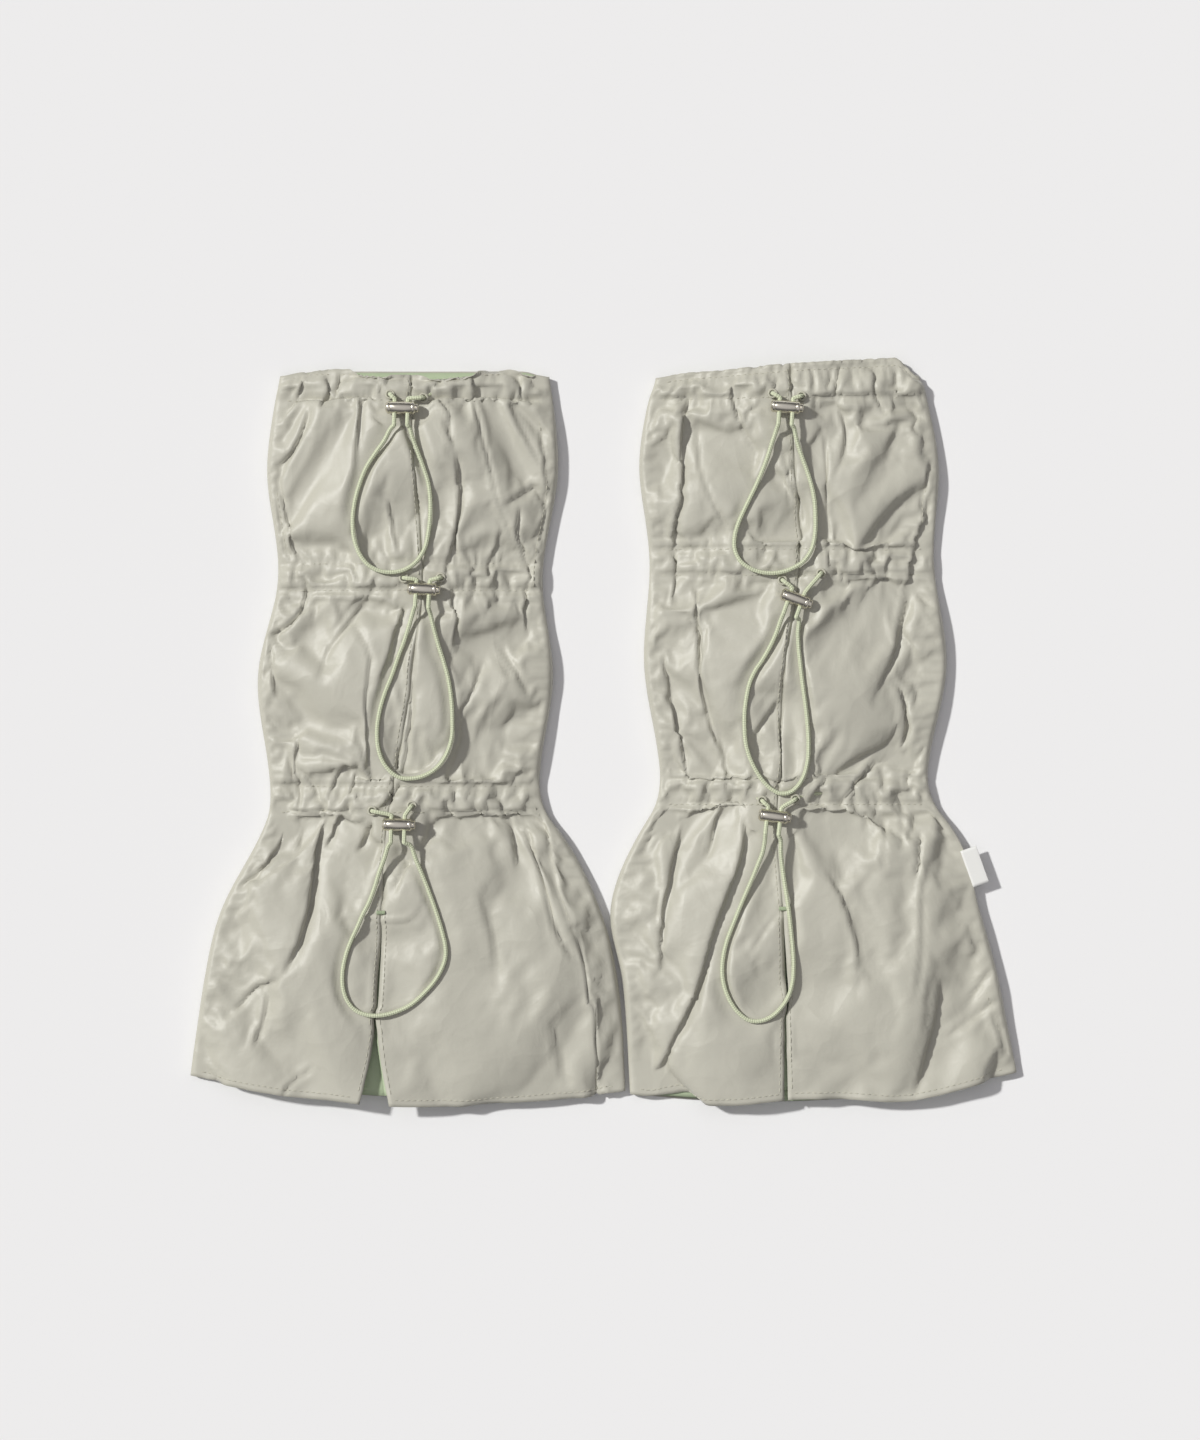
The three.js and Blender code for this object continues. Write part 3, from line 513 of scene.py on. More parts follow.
def fold_at(x, y, route, width, depth):
    """What one fold adds to the height and to X and Y."""
    signed, normal, along = route_distance(x, y, route)
    ends = step(along, 0.0, 0.22) * (1 - step(along, 0.72, 1.0))
    s = signed / width
    crest = 0.3 * np.where(s < 0, bump(s, 1.4), bump(s, 0.28))
    drop = np.where(s > 0, s / 0.42 * np.exp(1 - s / 0.42), 0)
    past = np.where(s > 0, np.exp(-np.maximum(s - 2.5, 0)), 1)
    height = ends * depth * (crest - drop * past)
    shift = ends * 0.35 * depth * bump(s, 0.55)
    return height, shift[..., None] * normal


class Wrinkles:
    """The seeded gathers and soft waves of one layer of one gaiter."""

    def __init__(self, outline, seed, strength=1.0):
        rng = np.random.default_rng(seed)
        self.outline = outline
        self.gathers = []
        for casing in CASINGS:
            for side, (count, depth, short, far) in zip((1, -1), GATHERS[casing]):
                places = (np.arange(count) + 0.5 + rng.uniform(-0.38, 0.38, count)) / count
                for place in places:
                    self.gathers.append((
                        outline.casings[casing], side, place, rng.uniform(-0.02, 0.02),
                        strength * depth * rng.uniform(0.25, 1.0), rng.uniform(0.35, 0.9) / count,
                        rng.uniform(short, far), rng.uniform(-0.6, 0.9),
                    ))
        self.waves = []
        for _ in range(14):
            angle, size = rng.uniform(0, math.pi), rng.uniform(22, 75)
            self.waves.append((
                math.cos(angle) / size * 2 * math.pi, math.sin(angle) / size * 2 * math.pi,
                rng.uniform(0, 2 * math.pi), strength * 0.004 * size,
            ))

    def at(self, x, y, left, right):
        u = (x - left) / (right - left)
        height = np.zeros(x.shape)
        for middle, side, place, lean, depth, width, reach, skew in self.gathers:
            away = (y - middle) * side
            outside = np.maximum(away - 0.5 * BAND_HALF, 0)
            fade = np.where(away > 0, np.exp(-((outside / reach) ** 1.6)), 0)
            wide = width * (1 + 0.8 * outside / reach)
            s = (u - place - lean * outside / reach) / wide
            height -= depth * fade * bump(s, 1) * (1 - 0.6 * np.tanh(1.5 * s) * skew)
        for kx, ky, phase, depth in self.waves:
            height += depth * np.sin(kx * x + ky * y + phase)
        return height


def casing_band(outline, y):
    """The drawn-in band at each casing: two stitched grooves with a slight swell between them."""
    height = np.zeros(np.shape(y))
    for middle in outline.casings.values():
        away = np.abs(y - middle)
        height -= BAND_DIP * np.exp(-np.maximum(away - BAND_HALF, 0) / BAND_DIP_REACH)
        height += BAND_SWELL * (1 - step(away, 2, BAND_HALF))
        height -= STITCH_DIP * bump(away - BAND_HALF, 1.1)
    return height


def pocket(outline, y):
    """1 behind a casing, where the lining lies deeper, and 0 away from it."""
    away = np.min([np.abs(y - middle) for middle in outline.casings.values()], axis=0)
    return 1 - step(away, 11, 19)


def near_cords(outline, x, y):
    """1 under the loose cords, eyelets and locks, and 0 away from them."""
    best = np.full(np.shape(x), 1e9)
    for casing in CASINGS:
        route = spline(loop_route(f"{outline.name}_{casing}"), 3.0)
        for px, py, _ in route:
            best = np.minimum(best, np.hypot(x - px, y - py))
        lock = lock_matrix(f"{outline.name}_{casing}")
        for far in (-9, -4.5, 0, 4.5, 9):
            for slid in (-LOCK_TRAVEL, 0, LOCK_TRAVEL):
                px, py, _ = lock @ Vector((far, slid, 0))
                best = np.minimum(best, np.hypot(x - px, y - py) - 2.5)
    px, py, _ = node_centre(f"{outline.name}_slit_tack")
    best = np.minimum(best, np.hypot(x - px, y - py) - 2)
    return 1 - step(best, 2.0, 7.0)


MAP_STEP = 1.4  # rows of the finished height map of a front
MAP_COLUMNS = 180
SIM_STEP = 2.6  # rows of the simulated cloth
SIM_COLUMNS = 90
SIM_SCALE = 0.01  # simulated units to a millimetre, because cloth this small simulates better enlarged
SIM_FRAMES = 22
SIM_GROWTH = 0.17  # how much wider the cut is than the tube that its casings gather it into
SIM_CAP = 4.6  # the most that the simulation may raise or lower a point
FOLD_SHARE = 0.8  # of a listed fold's depth that the cloth starts from


def settle(points, grown, pinned):
    """The sheet's new points once its cloth has grown where it is gathered and buckled into folds."""
    rows, columns = points.shape[:2]
    mesh = bpy.data.meshes.new("settling")
    mesh.from_pydata((points.reshape(-1, 3) * SIM_SCALE).tolist(), [], grid_faces(rows, columns))
    sheet = bpy.data.objects.new("settling", mesh)
    bpy.context.scene.collection.objects.link(sheet)
    pin = sheet.vertex_groups.new(name="pin")
    still = sheet.vertex_groups.new(name="still")
    for i, (hold, growth) in enumerate(zip(pinned.ravel(), grown.ravel())):
        pin.add([i], float(hold), "REPLACE")
        still.add([i], float(1 - growth), "REPLACE")
    cloth = sheet.modifiers.new("cloth", "CLOTH")
    settings = cloth.settings
    settings.quality = 5
    settings.mass = 0.3
    settings.tension_stiffness = settings.compression_stiffness = 25
    settings.shear_stiffness = 15
    settings.bending_stiffness = 0.03
    settings.tension_damping = settings.compression_damping = settings.shear_damping = 5
    settings.air_damping = 2
    settings.vertex_group_mass = "pin"
    settings.pin_stiffness = 8
    settings.vertex_group_shrink = "still"
    settings.shrink_min = -SIM_GROWTH
    settings.shrink_max = 0.0
    settings.effector_weights.gravity = 0.0
    cloth.collision_settings.use_collision = False
    cloth.point_cache.frame_start, cloth.point_cache.frame_end = 1, SIM_FRAMES
    for number in range(1, SIM_FRAMES + 1):
        bpy.context.scene.frame_set(number)
    result = sheet.evaluated_get(bpy.context.evaluated_depsgraph_get()).to_mesh()
    found = np.zeros(len(result.vertices) * 3)
    result.vertices.foreach_get("co", found)
    bpy.data.objects.remove(sheet)
    bpy.context.scene.frame_set(1)
    return found.reshape(rows, columns, 3) / SIM_SCALE


def cubic_weights(t):
    """Catmull-Rom weights of the four neighbours of a place between two grid lines."""
    return (
        0.5 * (-t + 2 * t**2 - t**3),
        0.5 * (2 - 5 * t**2 + 3 * t**3),
        0.5 * (t + 4 * t**2 - 3 * t**3),
        0.5 * (-(t**2) + t**3),
    )


def sample(field, row, column):
    """A smooth value of a grid field between its rows and columns."""
    rows, columns = field.shape[:2]
    i = np.clip(np.floor(row), 0, rows - 2).astype(int)
    j = np.clip(np.floor(column), 0, columns - 2).astype(int)
    down, across = cubic_weights(np.clip(row - i, 0, 1)), cubic_weights(np.clip(column - j, 0, 1))
    total = 0.0
    for a in range(4):
        ia = np.clip(i + a - 1, 0, rows - 1)
        for b in range(4):
            jb = np.clip(j + b - 1, 0, columns - 1)
            total = total + (down[a] * across[b])[..., None] * field[ia, jb]
    return total


def lowest(field, reach):
    """The lowest value of a grid within a few rows and columns of every point."""
    rows, columns = field.shape
    padded = np.pad(field, reach, mode="edge")
    spans = range(2 * reach + 1)
    return np.min([padded[a:a + rows, b:b + columns] for a in spans for b in spans], axis=0)


class Front:
    """The height of a gaiter's front, and the sideways shift that lets a fold lean over."""

    def __init__(self, outline, seed):
        self.outline = outline
        self.wrinkles = Wrinkles(outline, seed)
        self.rows = round((outline.knee - outline.hem) / MAP_STEP) + 1
        x, y, left, right = self.places(self.rows, MAP_COLUMNS)
        height, shift = self.drawn(x, y, left, right)
        moved = self.settled()
        rows, columns = moved.shape[:2]
        row = np.repeat(np.linspace(0, rows - 1, self.rows)[:, None], MAP_COLUMNS, axis=1)
        column = np.repeat(np.linspace(0, columns - 1, MAP_COLUMNS)[None, :], self.rows, axis=0)
        moved = sample(moved, row, column)
        height = height + moved[..., 2]
        shift = shift + moved[..., :2]
        under = near_cords(outline, x, y)
        held = np.clip(height, FABRIC_TOP - 1.6, FABRIC_TOP + 0.05)
        height = height + under * (held - height)
        edge = np.minimum(x - left, right - x)
        shift *= step(edge, 2, 12)[..., None] * (1 - under)[..., None]
        height = np.maximum(height, 6.5)
        low = lowest(height, 3)
        self.map = np.concatenate([height[..., None], shift, low[..., None]], axis=2)

    def places(self, rows, columns):
        """A grid over the whole front, from the knee to the hem and from the left to the right."""
        outline = self.outline
        y = np.linspace(outline.knee, outline.hem, rows)
        left, _, _, right = [edge[:, None] for edge in outline.at(y)]
        x = left + (right - left) * np.linspace(0, 1, columns)
        return x, np.repeat(y[:, None], columns, axis=1), left, right

    def settled(self):
        outline = self.outline
        x, y, left, right = self.places(round((outline.knee - outline.hem) / SIM_STEP) + 1, SIM_COLUMNS)
        height, _ = self.drawn(x, y, left, right)
        start = np.stack([x, y, height], axis=2)
        edge = np.minimum(x - left, right - x)
        away = np.min([np.abs(y - middle) for middle in outline.casings.values()], axis=0)
        grown = 0.35 + 0.65 * np.exp(-np.maximum(away - BAND_HALF, 0) / 22)
        stitched = 1 - step(np.abs(away - BAND_HALF), 0.8, 2.8)
        pinned = np.maximum(0.9 * stitched, 1 - step(edge, 2, 7))
        moved = settle(start, grown, pinned) - start
        moved[..., 2] = SIM_CAP * np.tanh(moved[..., 2] / SIM_CAP)
        return moved

    def plain(self, x, y, left, right):
        edge = np.minimum(x - left, right - x)
        height = ROLL_TOP + (FABRIC_TOP - 0.3 - ROLL_TOP) * step(edge, -6, PLATEAU_RUN)
        hem = 1 - step(y - self.outline.hem, 0, 45)
        knee = 1 - step(self.outline.knee - y, 0, 12)
        return height - HEM_DROP * hem - KNEE_DROP * knee

    def drawn(self, x, y, left, right):
        """The form with its gathers and the listed folds, before the cloth has settled."""
        height = self.plain(x, y, left, right) + casing_band(self.outline, y)
        height += self.wrinkles.at(x, y, left, right)
        shift = np.zeros((*x.shape, 2))
        for route, width, depth in FOLDS[self.outline.name]:
            more, lean = fold_at(x, y, route, width, FOLD_SHARE * depth)
            height += more
            shift += lean
        _, seam_left, seam_right, _ = self.outline.at(y)
        height -= 0.9 * bump(x - (seam_left + seam_right) / 2, 1.3)
        for route in SEAM_ROWS[self.outline.name]:
            signed, _, _ = route_distance(x, y, route)
            height -= STITCH_DIP * bump(signed, 1.2)
        return height, shift

    def at(self, x, y, left, right):
        """Height, shift along X and Y, and the lowest height close by."""
        row = (self.outline.knee - y) / (self.outline.knee - self.outline.hem) * (self.rows - 1)
        column = (x - left) / (right - left) * (MAP_COLUMNS - 1)
        return sample(self.map, row, column)


def end_shift(outline, x, y):
    """The knee and hem edges follow their own lines, so the cloth near them bends along Y."""
    knee = 1 - step(outline.knee - y, 0, 24)
    hem = 1 - step(y - outline.hem, 0, 40)
    return (
        knee * (np.polyval(outline.knee_line, x) - outline.knee)
        + hem * (np.polyval(outline.hem_line, x) - outline.hem)
    )


# How far the front's ends stand back from the back's, so that the lining behind shows:
# (middle X, half width, how far).
FRONT_SHORT = {
    "left": {"knee": [(-104, 48, 3.6)], "hem": [(-150, 40, 0.8)]},
    "right": {"knee": [(60, 40, 1.2)], "hem": [(116, 70, 6.0)]},
}
CORNER_DROP = {"left": (3.0, 3.5), "right": (2.0, 11.0)}  # the knee end's corners, left and right


def corner_drop(outline, x, y, left, right):
    t = (2 * x - left - right) / (right - left)
    drops = CORNER_DROP[outline.name]
    knee = 1 - step(outline.knee - y, 0, 16)
    drop = drops[0] * step(-t, 0.72, 1.0) + drops[1] * step(t, 0.8, 1.0)
    return -drop * knee


def front_short(outline, x, y):
    shift = np.zeros(x.shape)
    knee = 1 - step(outline.knee - y, 0, 14)
    hem = 1 - step(y - outline.hem, 0, 22)
    for middle, half, far in FRONT_SHORT[outline.name]["knee"]:
        shift -= knee * far * (1 - step(np.abs(x - middle), 0, half))
    for middle, half, far in FRONT_SHORT[outline.name]["hem"]:
        shift += hem * far * (1 - step(np.abs(x - middle), 0, half))
    return shift


# ---- Materials ----
def new_material(name, color, roughness, **sockets):
    material = bpy.data.materials.new(name)
    material.use_nodes = True
    shader = material.node_tree.nodes["Principled BSDF"]
    shader.inputs["Base Color"].default_value = (*color, 1)
    shader.inputs["Roughness"].default_value = roughness
    for socket, value in sockets.items():
        shader.inputs[socket.replace("_", " ")].default_value = value
    return material, material.node_tree, shader


def node(tree, kind, inputs=None, **settings):
    made = tree.nodes.new(kind)
    for key, value in settings.items():
        setattr(made, key, value)
    for key, value in (inputs or {}).items():
        if isinstance(value, bpy.types.NodeSocket):
            tree.links.new(value, made.inputs[key])
        else:
            made.inputs[key].default_value = value
    return made


def math_node(tree, operation, a, b=0.0):
    return node(tree, "ShaderNodeMath", {0: a, 1: b}, operation=operation).outputs[0]


def srgb(*values):
    """Linear colour from 0-255 sRGB."""
    shares = [v / 255 for v in values]
    return tuple(s / 12.92 if s < 0.04045 else ((s + 0.055) / 1.055) ** 2.4 for s in shares)


def varied(tree, shader, color, coords, scale, spread):
    """The base colour, a little lighter and darker in soft patches."""
    noise = node(tree, "ShaderNodeTexNoise", {"Vector": coords, "Scale": scale, "Detail": 4.0})
    mix = node(tree, "ShaderNodeMix", {"Factor": noise.outputs["Fac"]}, data_type="RGBA")
    mix.inputs["A"].default_value = (*(c * (1 - spread) for c in color), 1)
    mix.inputs["B"].default_value = (*(c * (1 + spread) for c in color), 1)
    tree.links.new(mix.outputs["Result"], shader.inputs["Base Color"])


def bumped(tree, shader, heights):
    """Bumps on top of each other: (height socket, distance in metres, strength)."""
    before = None
    for height, distance, strength in heights:
        inputs = {"Height": height, "Distance": distance, "Strength": strength}
        if before is not None:
            inputs["Normal"] = before
        before = node(tree, "ShaderNodeBump", inputs).outputs["Normal"]
    tree.links.new(before, shader.inputs["Normal"])


def woven(name, color, roughness, crumple, spread=0.05, sheen=0.12):
    """Thin nylon: a fine plain weave, tiny crinkles, and creases that meet in facets."""
    material, tree, shader = new_material(
        name, color, roughness, Specular_IOR_Level=0.42, Sheen_Weight=sheen, Sheen_Roughness=0.45,
    )
    coords = node(tree, "ShaderNodeTexCoord").outputs["Object"]
    varied(tree, shader, color, coords, 14.0, spread)
    threads = []
    for direction in ("X", "Y"):
        wave = node(
            tree, "ShaderNodeTexWave", {"Vector": coords, "Scale": 620.0, "Distortion": 0.6},
            bands_direction=direction,
        )
        threads.append(wave.outputs["Fac"])
    weave = math_node(tree, "MULTIPLY", threads[0], threads[1])
    dents = node(
        tree, "ShaderNodeTexNoise",
        {"Vector": coords, "Scale": 42.0, "Detail": 5.0, "Roughness": 0.45, "Distortion": 1.6},
    )
    fine = node(
        tree, "ShaderNodeTexNoise",
        {"Vector": coords, "Scale": 160.0, "Detail": 3.0, "Roughness": 0.5, "Distortion": 0.8},
    )
    warp = node(
        tree, "ShaderNodeTexNoise", {"Vector": coords, "Scale": 16.0, "Detail": 2.0, "Distortion": 0.5},
    )
    pull = node(tree, "ShaderNodeVectorMath", {0: warp.outputs["Color"], "Scale": 0.05}, operation="SCALE")
    bent = node(tree, "ShaderNodeVectorMath", {0: coords, 1: pull.outputs[0]}, operation="ADD")
    facets = node(tree, "ShaderNodeTexVoronoi", {"Vector": bent.outputs[0], "Scale": 34.0})
    gloss = node(
        tree, "ShaderNodeMapRange",
        {"Value": dents.outputs["Fac"], "To Min": roughness - 0.05, "To Max": roughness + 0.06},
    )
    tree.links.new(gloss.outputs["Result"], shader.inputs["Roughness"])
    bumped(tree, shader, [
        (facets.outputs["Distance"], 0.0035, 0.3 * crumple),
        (dents.outputs["Fac"], 0.004, 0.1 * crumple),
        (fine.outputs["Fac"], 0.0006, 0.22 * crumple),
        (weave, 0.00006, 0.25),
    ])
    return material


def braided(name, color, strands, pitch):
    """A braided cord cover, with painted shade in its grooves. Its pattern follows the UVs: U round the
    cord and V in millimetres along it.
    """
    material, tree, shader = new_material(name, color, 0.62, Sheen_Weight=0.25, Sheen_Roughness=0.5)
    uv = node(tree, "ShaderNodeSeparateXYZ", {"Vector": node(tree, "ShaderNodeTexCoord").outputs["UV"]})
    across = math_node(tree, "MULTIPLY", uv.outputs["X"], 2 * math.pi * strands)
    along = math_node(tree, "MULTIPLY", uv.outputs["Y"], 2 * math.pi / pitch)
    one = math_node(tree, "SINE", math_node(tree, "ADD", across, along))
    other = math_node(tree, "SINE", math_node(tree, "SUBTRACT", across, along))
    braid = math_node(tree, "MULTIPLY", one, other)
    painted_groove_shade = node(tree, "ShaderNodeMapRange", {"Value": braid, "From Min": -1.0, "From Max": 1.0})
    # The colour is darker where the braid lies low and lighter where it stands up: painted shade between
    # the strands and painted light on their crowns.
    mix = node(tree, "ShaderNodeMix", {"Factor": painted_groove_shade.outputs["Result"]}, data_type="RGBA")
    mix.inputs["A"].default_value = (*(c * 0.84 for c in color), 1)
    mix.inputs["B"].default_value = (*(c * 1.08 for c in color), 1)
    tree.links.new(mix.outputs["Result"], shader.inputs["Base Color"])
    bumped(tree, shader, [(braid, 0.00022, 0.7)])
    return material


def threaded(name, color):
    material, tree, shader = new_material(name, color, 0.6, Sheen_Weight=0.2)
    coords = node(tree, "ShaderNodeTexCoord").outputs["Object"]
    varied(tree, shader, color, coords, 300.0, 0.12)
    twist = node(tree, "ShaderNodeTexNoise", {"Vector": coords, "Scale": 2600.0, "Detail": 2.0})
    bumped(tree, shader, [(twist.outputs["Fac"], 0.0001, 0.5)])
    return material


def metal(name, color, roughness):
    material, tree, shader = new_material(name, color, roughness, Metallic=1.0)
    coords = node(tree, "ShaderNodeTexCoord").outputs["Object"]
    varied(tree, shader, color, coords, 260.0, 0.06)
    rub = node(tree, "ShaderNodeTexNoise", {"Vector": coords, "Scale": 900.0, "Detail": 5.0})
    gloss = node(
        tree, "ShaderNodeMapRange",
        {"Value": rub.outputs["Fac"], "To Min": roughness - 0.07, "To Max": roughness + 0.12},
    )
    tree.links.new(gloss.outputs["Result"], shader.inputs["Roughness"])
    bumped(tree, shader, [(rub.outputs["Fac"], 0.00005, 0.12)])
    return material


# The look of each slot of the record.
MATERIALS = {
    "outer_nylon": woven("outer_nylon", srgb(184, 182, 169), 0.45, 1.15),
    "lining_nylon": woven("lining_nylon", srgb(178, 192, 160), 0.45, 0.8),
    "elastic_cord": braided("elastic_cord", srgb(205, 211, 180), 4, 2.6),
    "eyelet_thread": threaded("eyelet_thread", srgb(184, 182, 166)),
    "tack_thread": threaded("tack_thread", srgb(172, 186, 154)),
    "lock_nickel": metal("lock_nickel", srgb(222, 217, 203), 0.2),
    "spring_steel": metal("spring_steel", srgb(170, 170, 168), 0.32),
    "label_weave": woven("label_weave", srgb(226, 226, 222), 0.7, 0.3, 0.02, 0.3),
}

# ---- Panels ----
FRONT_STEP = 2.0  # between the rows of an outer front panel
FRONT_COLUMNS = 54
LINING_STEP = 2.5
LINING_COLUMNS = 40
BACK_STEP = 4.0
BACK_COLUMNS = 26
ROLL_ANGLES = (0, 12, 26, 42, 58, 74, 90)


def heights_between(high, low, spacing):
    return np.linspace(high, low, round((high - low) / spacing) + 1)


def rolled(columns):
    """Column places across half a gaiter: (share of the roll's angle, share of the run after the roll)."""
    roll = [(math.radians(a), 0.0) for a in ROLL_ANGLES]
    run = [(math.pi / 2, (k + 1) / columns) for k in range(columns)]
    return roll + run


def sheet_piece(name, points, flip, slot, stands_for, outline):
    rows, columns = points.shape[:2]
    piece = mesh_piece(
        name, points.reshape(-1, 3), grid_faces(rows, columns, flip), slot, f"{outline.name}_gaiter",
        [stands_for],
    )
    thick = piece.modifiers.new("cloth", "SOLIDIFY")
    thick.thickness = CLOTH * MM
    thick.offset = -1


def seam_height(outline, y, side):
    """Height of a side seam, which lies higher where the label hangs from it."""
    height = SEAM_HEIGHT + 0 * y
    if outline.name == "right" and side > 0:
        _, middle, level = node_centre("right_side_label")
        height = height + (level - SEAM_HEIGHT) * bump(y - middle, 26)
    return height


def front_grid(outline, front, side, inset, ends, columns, spacing, under=False):
    """A front panel, or the lining under it. side is -1 for its -X half. inset is how deep it lies."""
    y = heights_between(outline.knee - ends, outline.hem + ends, spacing)
    left, seam_left, seam_right, right = outline.at(y)
    deep = inset(y)
    opening = np.maximum(seam_right - seam_left - GAP, 0) / 2
    seam = (seam_left + seam_right) / 2 + side * opening
    border = left if side < 0 else right
    places = rolled(columns)
    x = np.zeros((len(y), len(places)))
    share = np.zeros(len(places))
    for k, (angle, run) in enumerate(places):
        start = border - side * (deep + SIDE_ROLL * (1 - math.cos(angle)))
        x[:, k] = start + run * (seam - start)
        share[k] = math.sin(angle)
    yy = np.repeat(y[:, None], len(places), axis=1)
    lx, rx = left[:, None], right[:, None]
    found = front.at(x, yy, lx, rx)
    height, lean = (found[..., 3], 0 * found[..., 1:3]) if under else (found[..., 0], found[..., 1:3])
    level = height - deep[:, None]
    if under:
        level = np.maximum(level, FRONT_LINING_LOW)
    seam = seam_height(outline, y, side)[:, None]
    z = seam + (level - seam) * share[None, :]
    x = x + lean[..., 0] * share
    yy = yy + lean[..., 1] * share
    yy = yy + end_shift(outline, x, yy) + corner_drop(outline, x, yy, lx, rx)
    yy = yy + front_short(outline, x, yy) * share
    return np.stack([x, yy, z], axis=2)


def back_grid(outline, wrinkles, inset, ends, rise):
    """The back panel or its lining. ends is how far it stops short of the knee edge and the hem."""
    y = heights_between(outline.knee - ends, outline.hem + ends, BACK_STEP)
    left, _, _, right = outline.at(y)
    deep = inset(y)
    places = rolled(BACK_COLUMNS)
    half = []
    for side, border in ((-1, left), (1, right)):
        middle = (left + right) / 2
        x = np.zeros((len(y), len(places)))
        for k, (angle, run) in enumerate(places):
            start = border - side * (deep + SIDE_ROLL * (1 - math.cos(angle)))
            x[:, k] = start + run * (middle - start)
        half.append(x)
    share = np.array([math.sin(angle) for angle, _ in places])
    x = np.concatenate([half[0], half[1][:, -2::-1]], axis=1)
    share = np.concatenate([share, share[-2::-1]])
    yy = np.repeat(y[:, None], x.shape[1], axis=1)
    lx, rx = left[:, None], right[:, None]
    ripple = -wrinkles.at(x, yy, lx, rx)
    ripple = np.clip(ripple, 0, 2.2) * step(np.minimum(x - lx, rx - x), 0, 8)
    level = np.minimum(BACK_HEIGHT + ripple + deep[:, None], BACK_LINING_HIGH) + rise(x, yy)
    sides = np.where(x < (lx + rx) / 2, 0.0, 1.0)
    left_seam, right_seam = [seam_height(outline, y, side)[:, None] for side in (-1, 1)]
    seam = left_seam * (1 - sides) + right_seam * sides
    z = seam + (level - seam) * share[None, :]
    yy = yy + end_shift(outline, x, yy) + corner_drop(outline, x, yy, lx, rx)
    return np.stack([x, yy, z], axis=2)


def under_slit(outline):
    """The back swells up behind the slit, where the front's edges nearly rest on it."""
    def rise(x, y):
        _, seam_left, seam_right, _ = outline.at(y[:, 0])
        middle = ((seam_left + seam_right) / 2)[:, None]
        low = step(outline.slit_top + 10 - y, 0, 60)
        return 6.5 * low * bump(x - middle, 24)
    return rise


def flat_rise(x, y):
    return 0.0 * x


def add_fabric(name, seed):
    outline = Outline(name)
    front = Front(outline, seed)
    back_wrinkles = Wrinkles(outline, seed + 50, 0.8)

    def none(y):
        return 0.0 * y

    def behind(y):
        return CLOTH + LINING_GAP + POCKET * pocket(outline, y)

    for side, word in ((-1, "left"), (1, "right")):
        flip = side < 0
        outer = front_grid(outline, front, side, none, 0.0, FRONT_COLUMNS, FRONT_STEP)
        sheet_piece(
            f"{name}_front_{word}_panel", outer, flip, "outer_nylon", f"{name}_outer_front_{word}", outline,
        )
        inner = front_grid(outline, front, side, behind, 1.6, LINING_COLUMNS, LINING_STEP, True)
        sheet_piece(
            f"{name}_front_{word}_lining", inner, flip, "lining_nylon", f"{name}_lining_front_{word}",
            outline,
        )
    outer = back_grid(outline, back_wrinkles, none, 0.0, flat_rise)
    sheet_piece(f"{name}_back_panel", outer, False, "outer_nylon", f"{name}_outer_back", outline)
    inner = back_grid(outline, back_wrinkles, behind, 1.0, under_slit(outline))
    sheet_piece(f"{name}_back_lining", inner, False, "lining_nylon", f"{name}_lining_back", outline)
    return outline, front


# ---- Sewing ----
def on_front(outline, front, x, y):
    """Places on the outside of a front panel, given where they would lie on it smoothed out."""
    left, _, _, right = outline.at(y)
    found = front.at(x, y, left, right)
    x = x + found[..., 1]
    y = y + found[..., 2]
    y = y + end_shift(outline, x, y) + corner_drop(outline, x, y, left, right)
    y = y + front_short(outline, x, y)
    return np.stack([x, y, found[..., 0]], axis=-1)


def stitched_rows(outline):
    """The rows of topstitching on a front, each as its X and Y values."""
    rows = []
    for middle in outline.casings.values():
        for y in (middle - BAND_HALF, middle + BAND_HALF):
            left, seam_left, seam_right, right = [float(v) for v in outline.at(y)]
            rows.append(([left + 7, seam_left - 1.5], [y, y]))
            rows.append(([seam_right + 1.5, right - 7], [y, y]))
    y = outline.hem + 3.5
    left, seam_left, seam_right, right = [float(v) for v in outline.at(y)]
    rows.append(([left + 6, seam_left - 3], [y, y]))
    rows.append(([seam_right + 3, right - 6], [y, y]))
    y = np.arange(outline.knee - 3, outline.hem + 4, -4.0)
    _, seam_left, seam_right, _ = outline.at(y)
    rows.append((seam_left - 2.2, y))
    low = y < outline.slit_top
    rows.append((seam_right[low] + 2.2, y[low]))
    for route in SEAM_ROWS[outline.name]:
        points = spline(route, 4.0)
        left, _, _, right = outline.at(points[:, 1])
        rows.append((np.clip(points[:, 0], left + 5, right - 5), points[:, 1]))
    return rows


def threads(routes, radius):
    """Points and faces of many short threads."""
    points, faces = [], []
    for route in routes:
        more, ring, _ = tube(route, radius, 6)
        faces += [tuple(len(points) + int(k) for k in face) for face in ring]
        points += list(more)
    return points, faces


def add_stitching(outline, front):
    routes = []
    for x, y in stitched_rows(outline):
        x, y = np.asarray(x, float), np.asarray(y, float)
        run = np.concatenate([[0], np.cumsum(np.hypot(np.diff(x), np.diff(y)))])
        for start in np.arange(0, run[-1] - STITCH, STITCH_PITCH):
            along = start + STITCH * np.linspace(0, 1, 5)
            route = on_front(outline, front, np.interp(along, run, x), np.interp(along, run, y))
            route[:, 2] += (-0.2, 0.06, 0.1, 0.06, -0.2)
            routes.append(route)
    points, faces = threads(routes, THREAD_RADIUS)
    mesh_piece(
        f"{outline.name}_topstitching", points, faces, "eyelet_thread", f"{outline.name}_gaiter",
    )


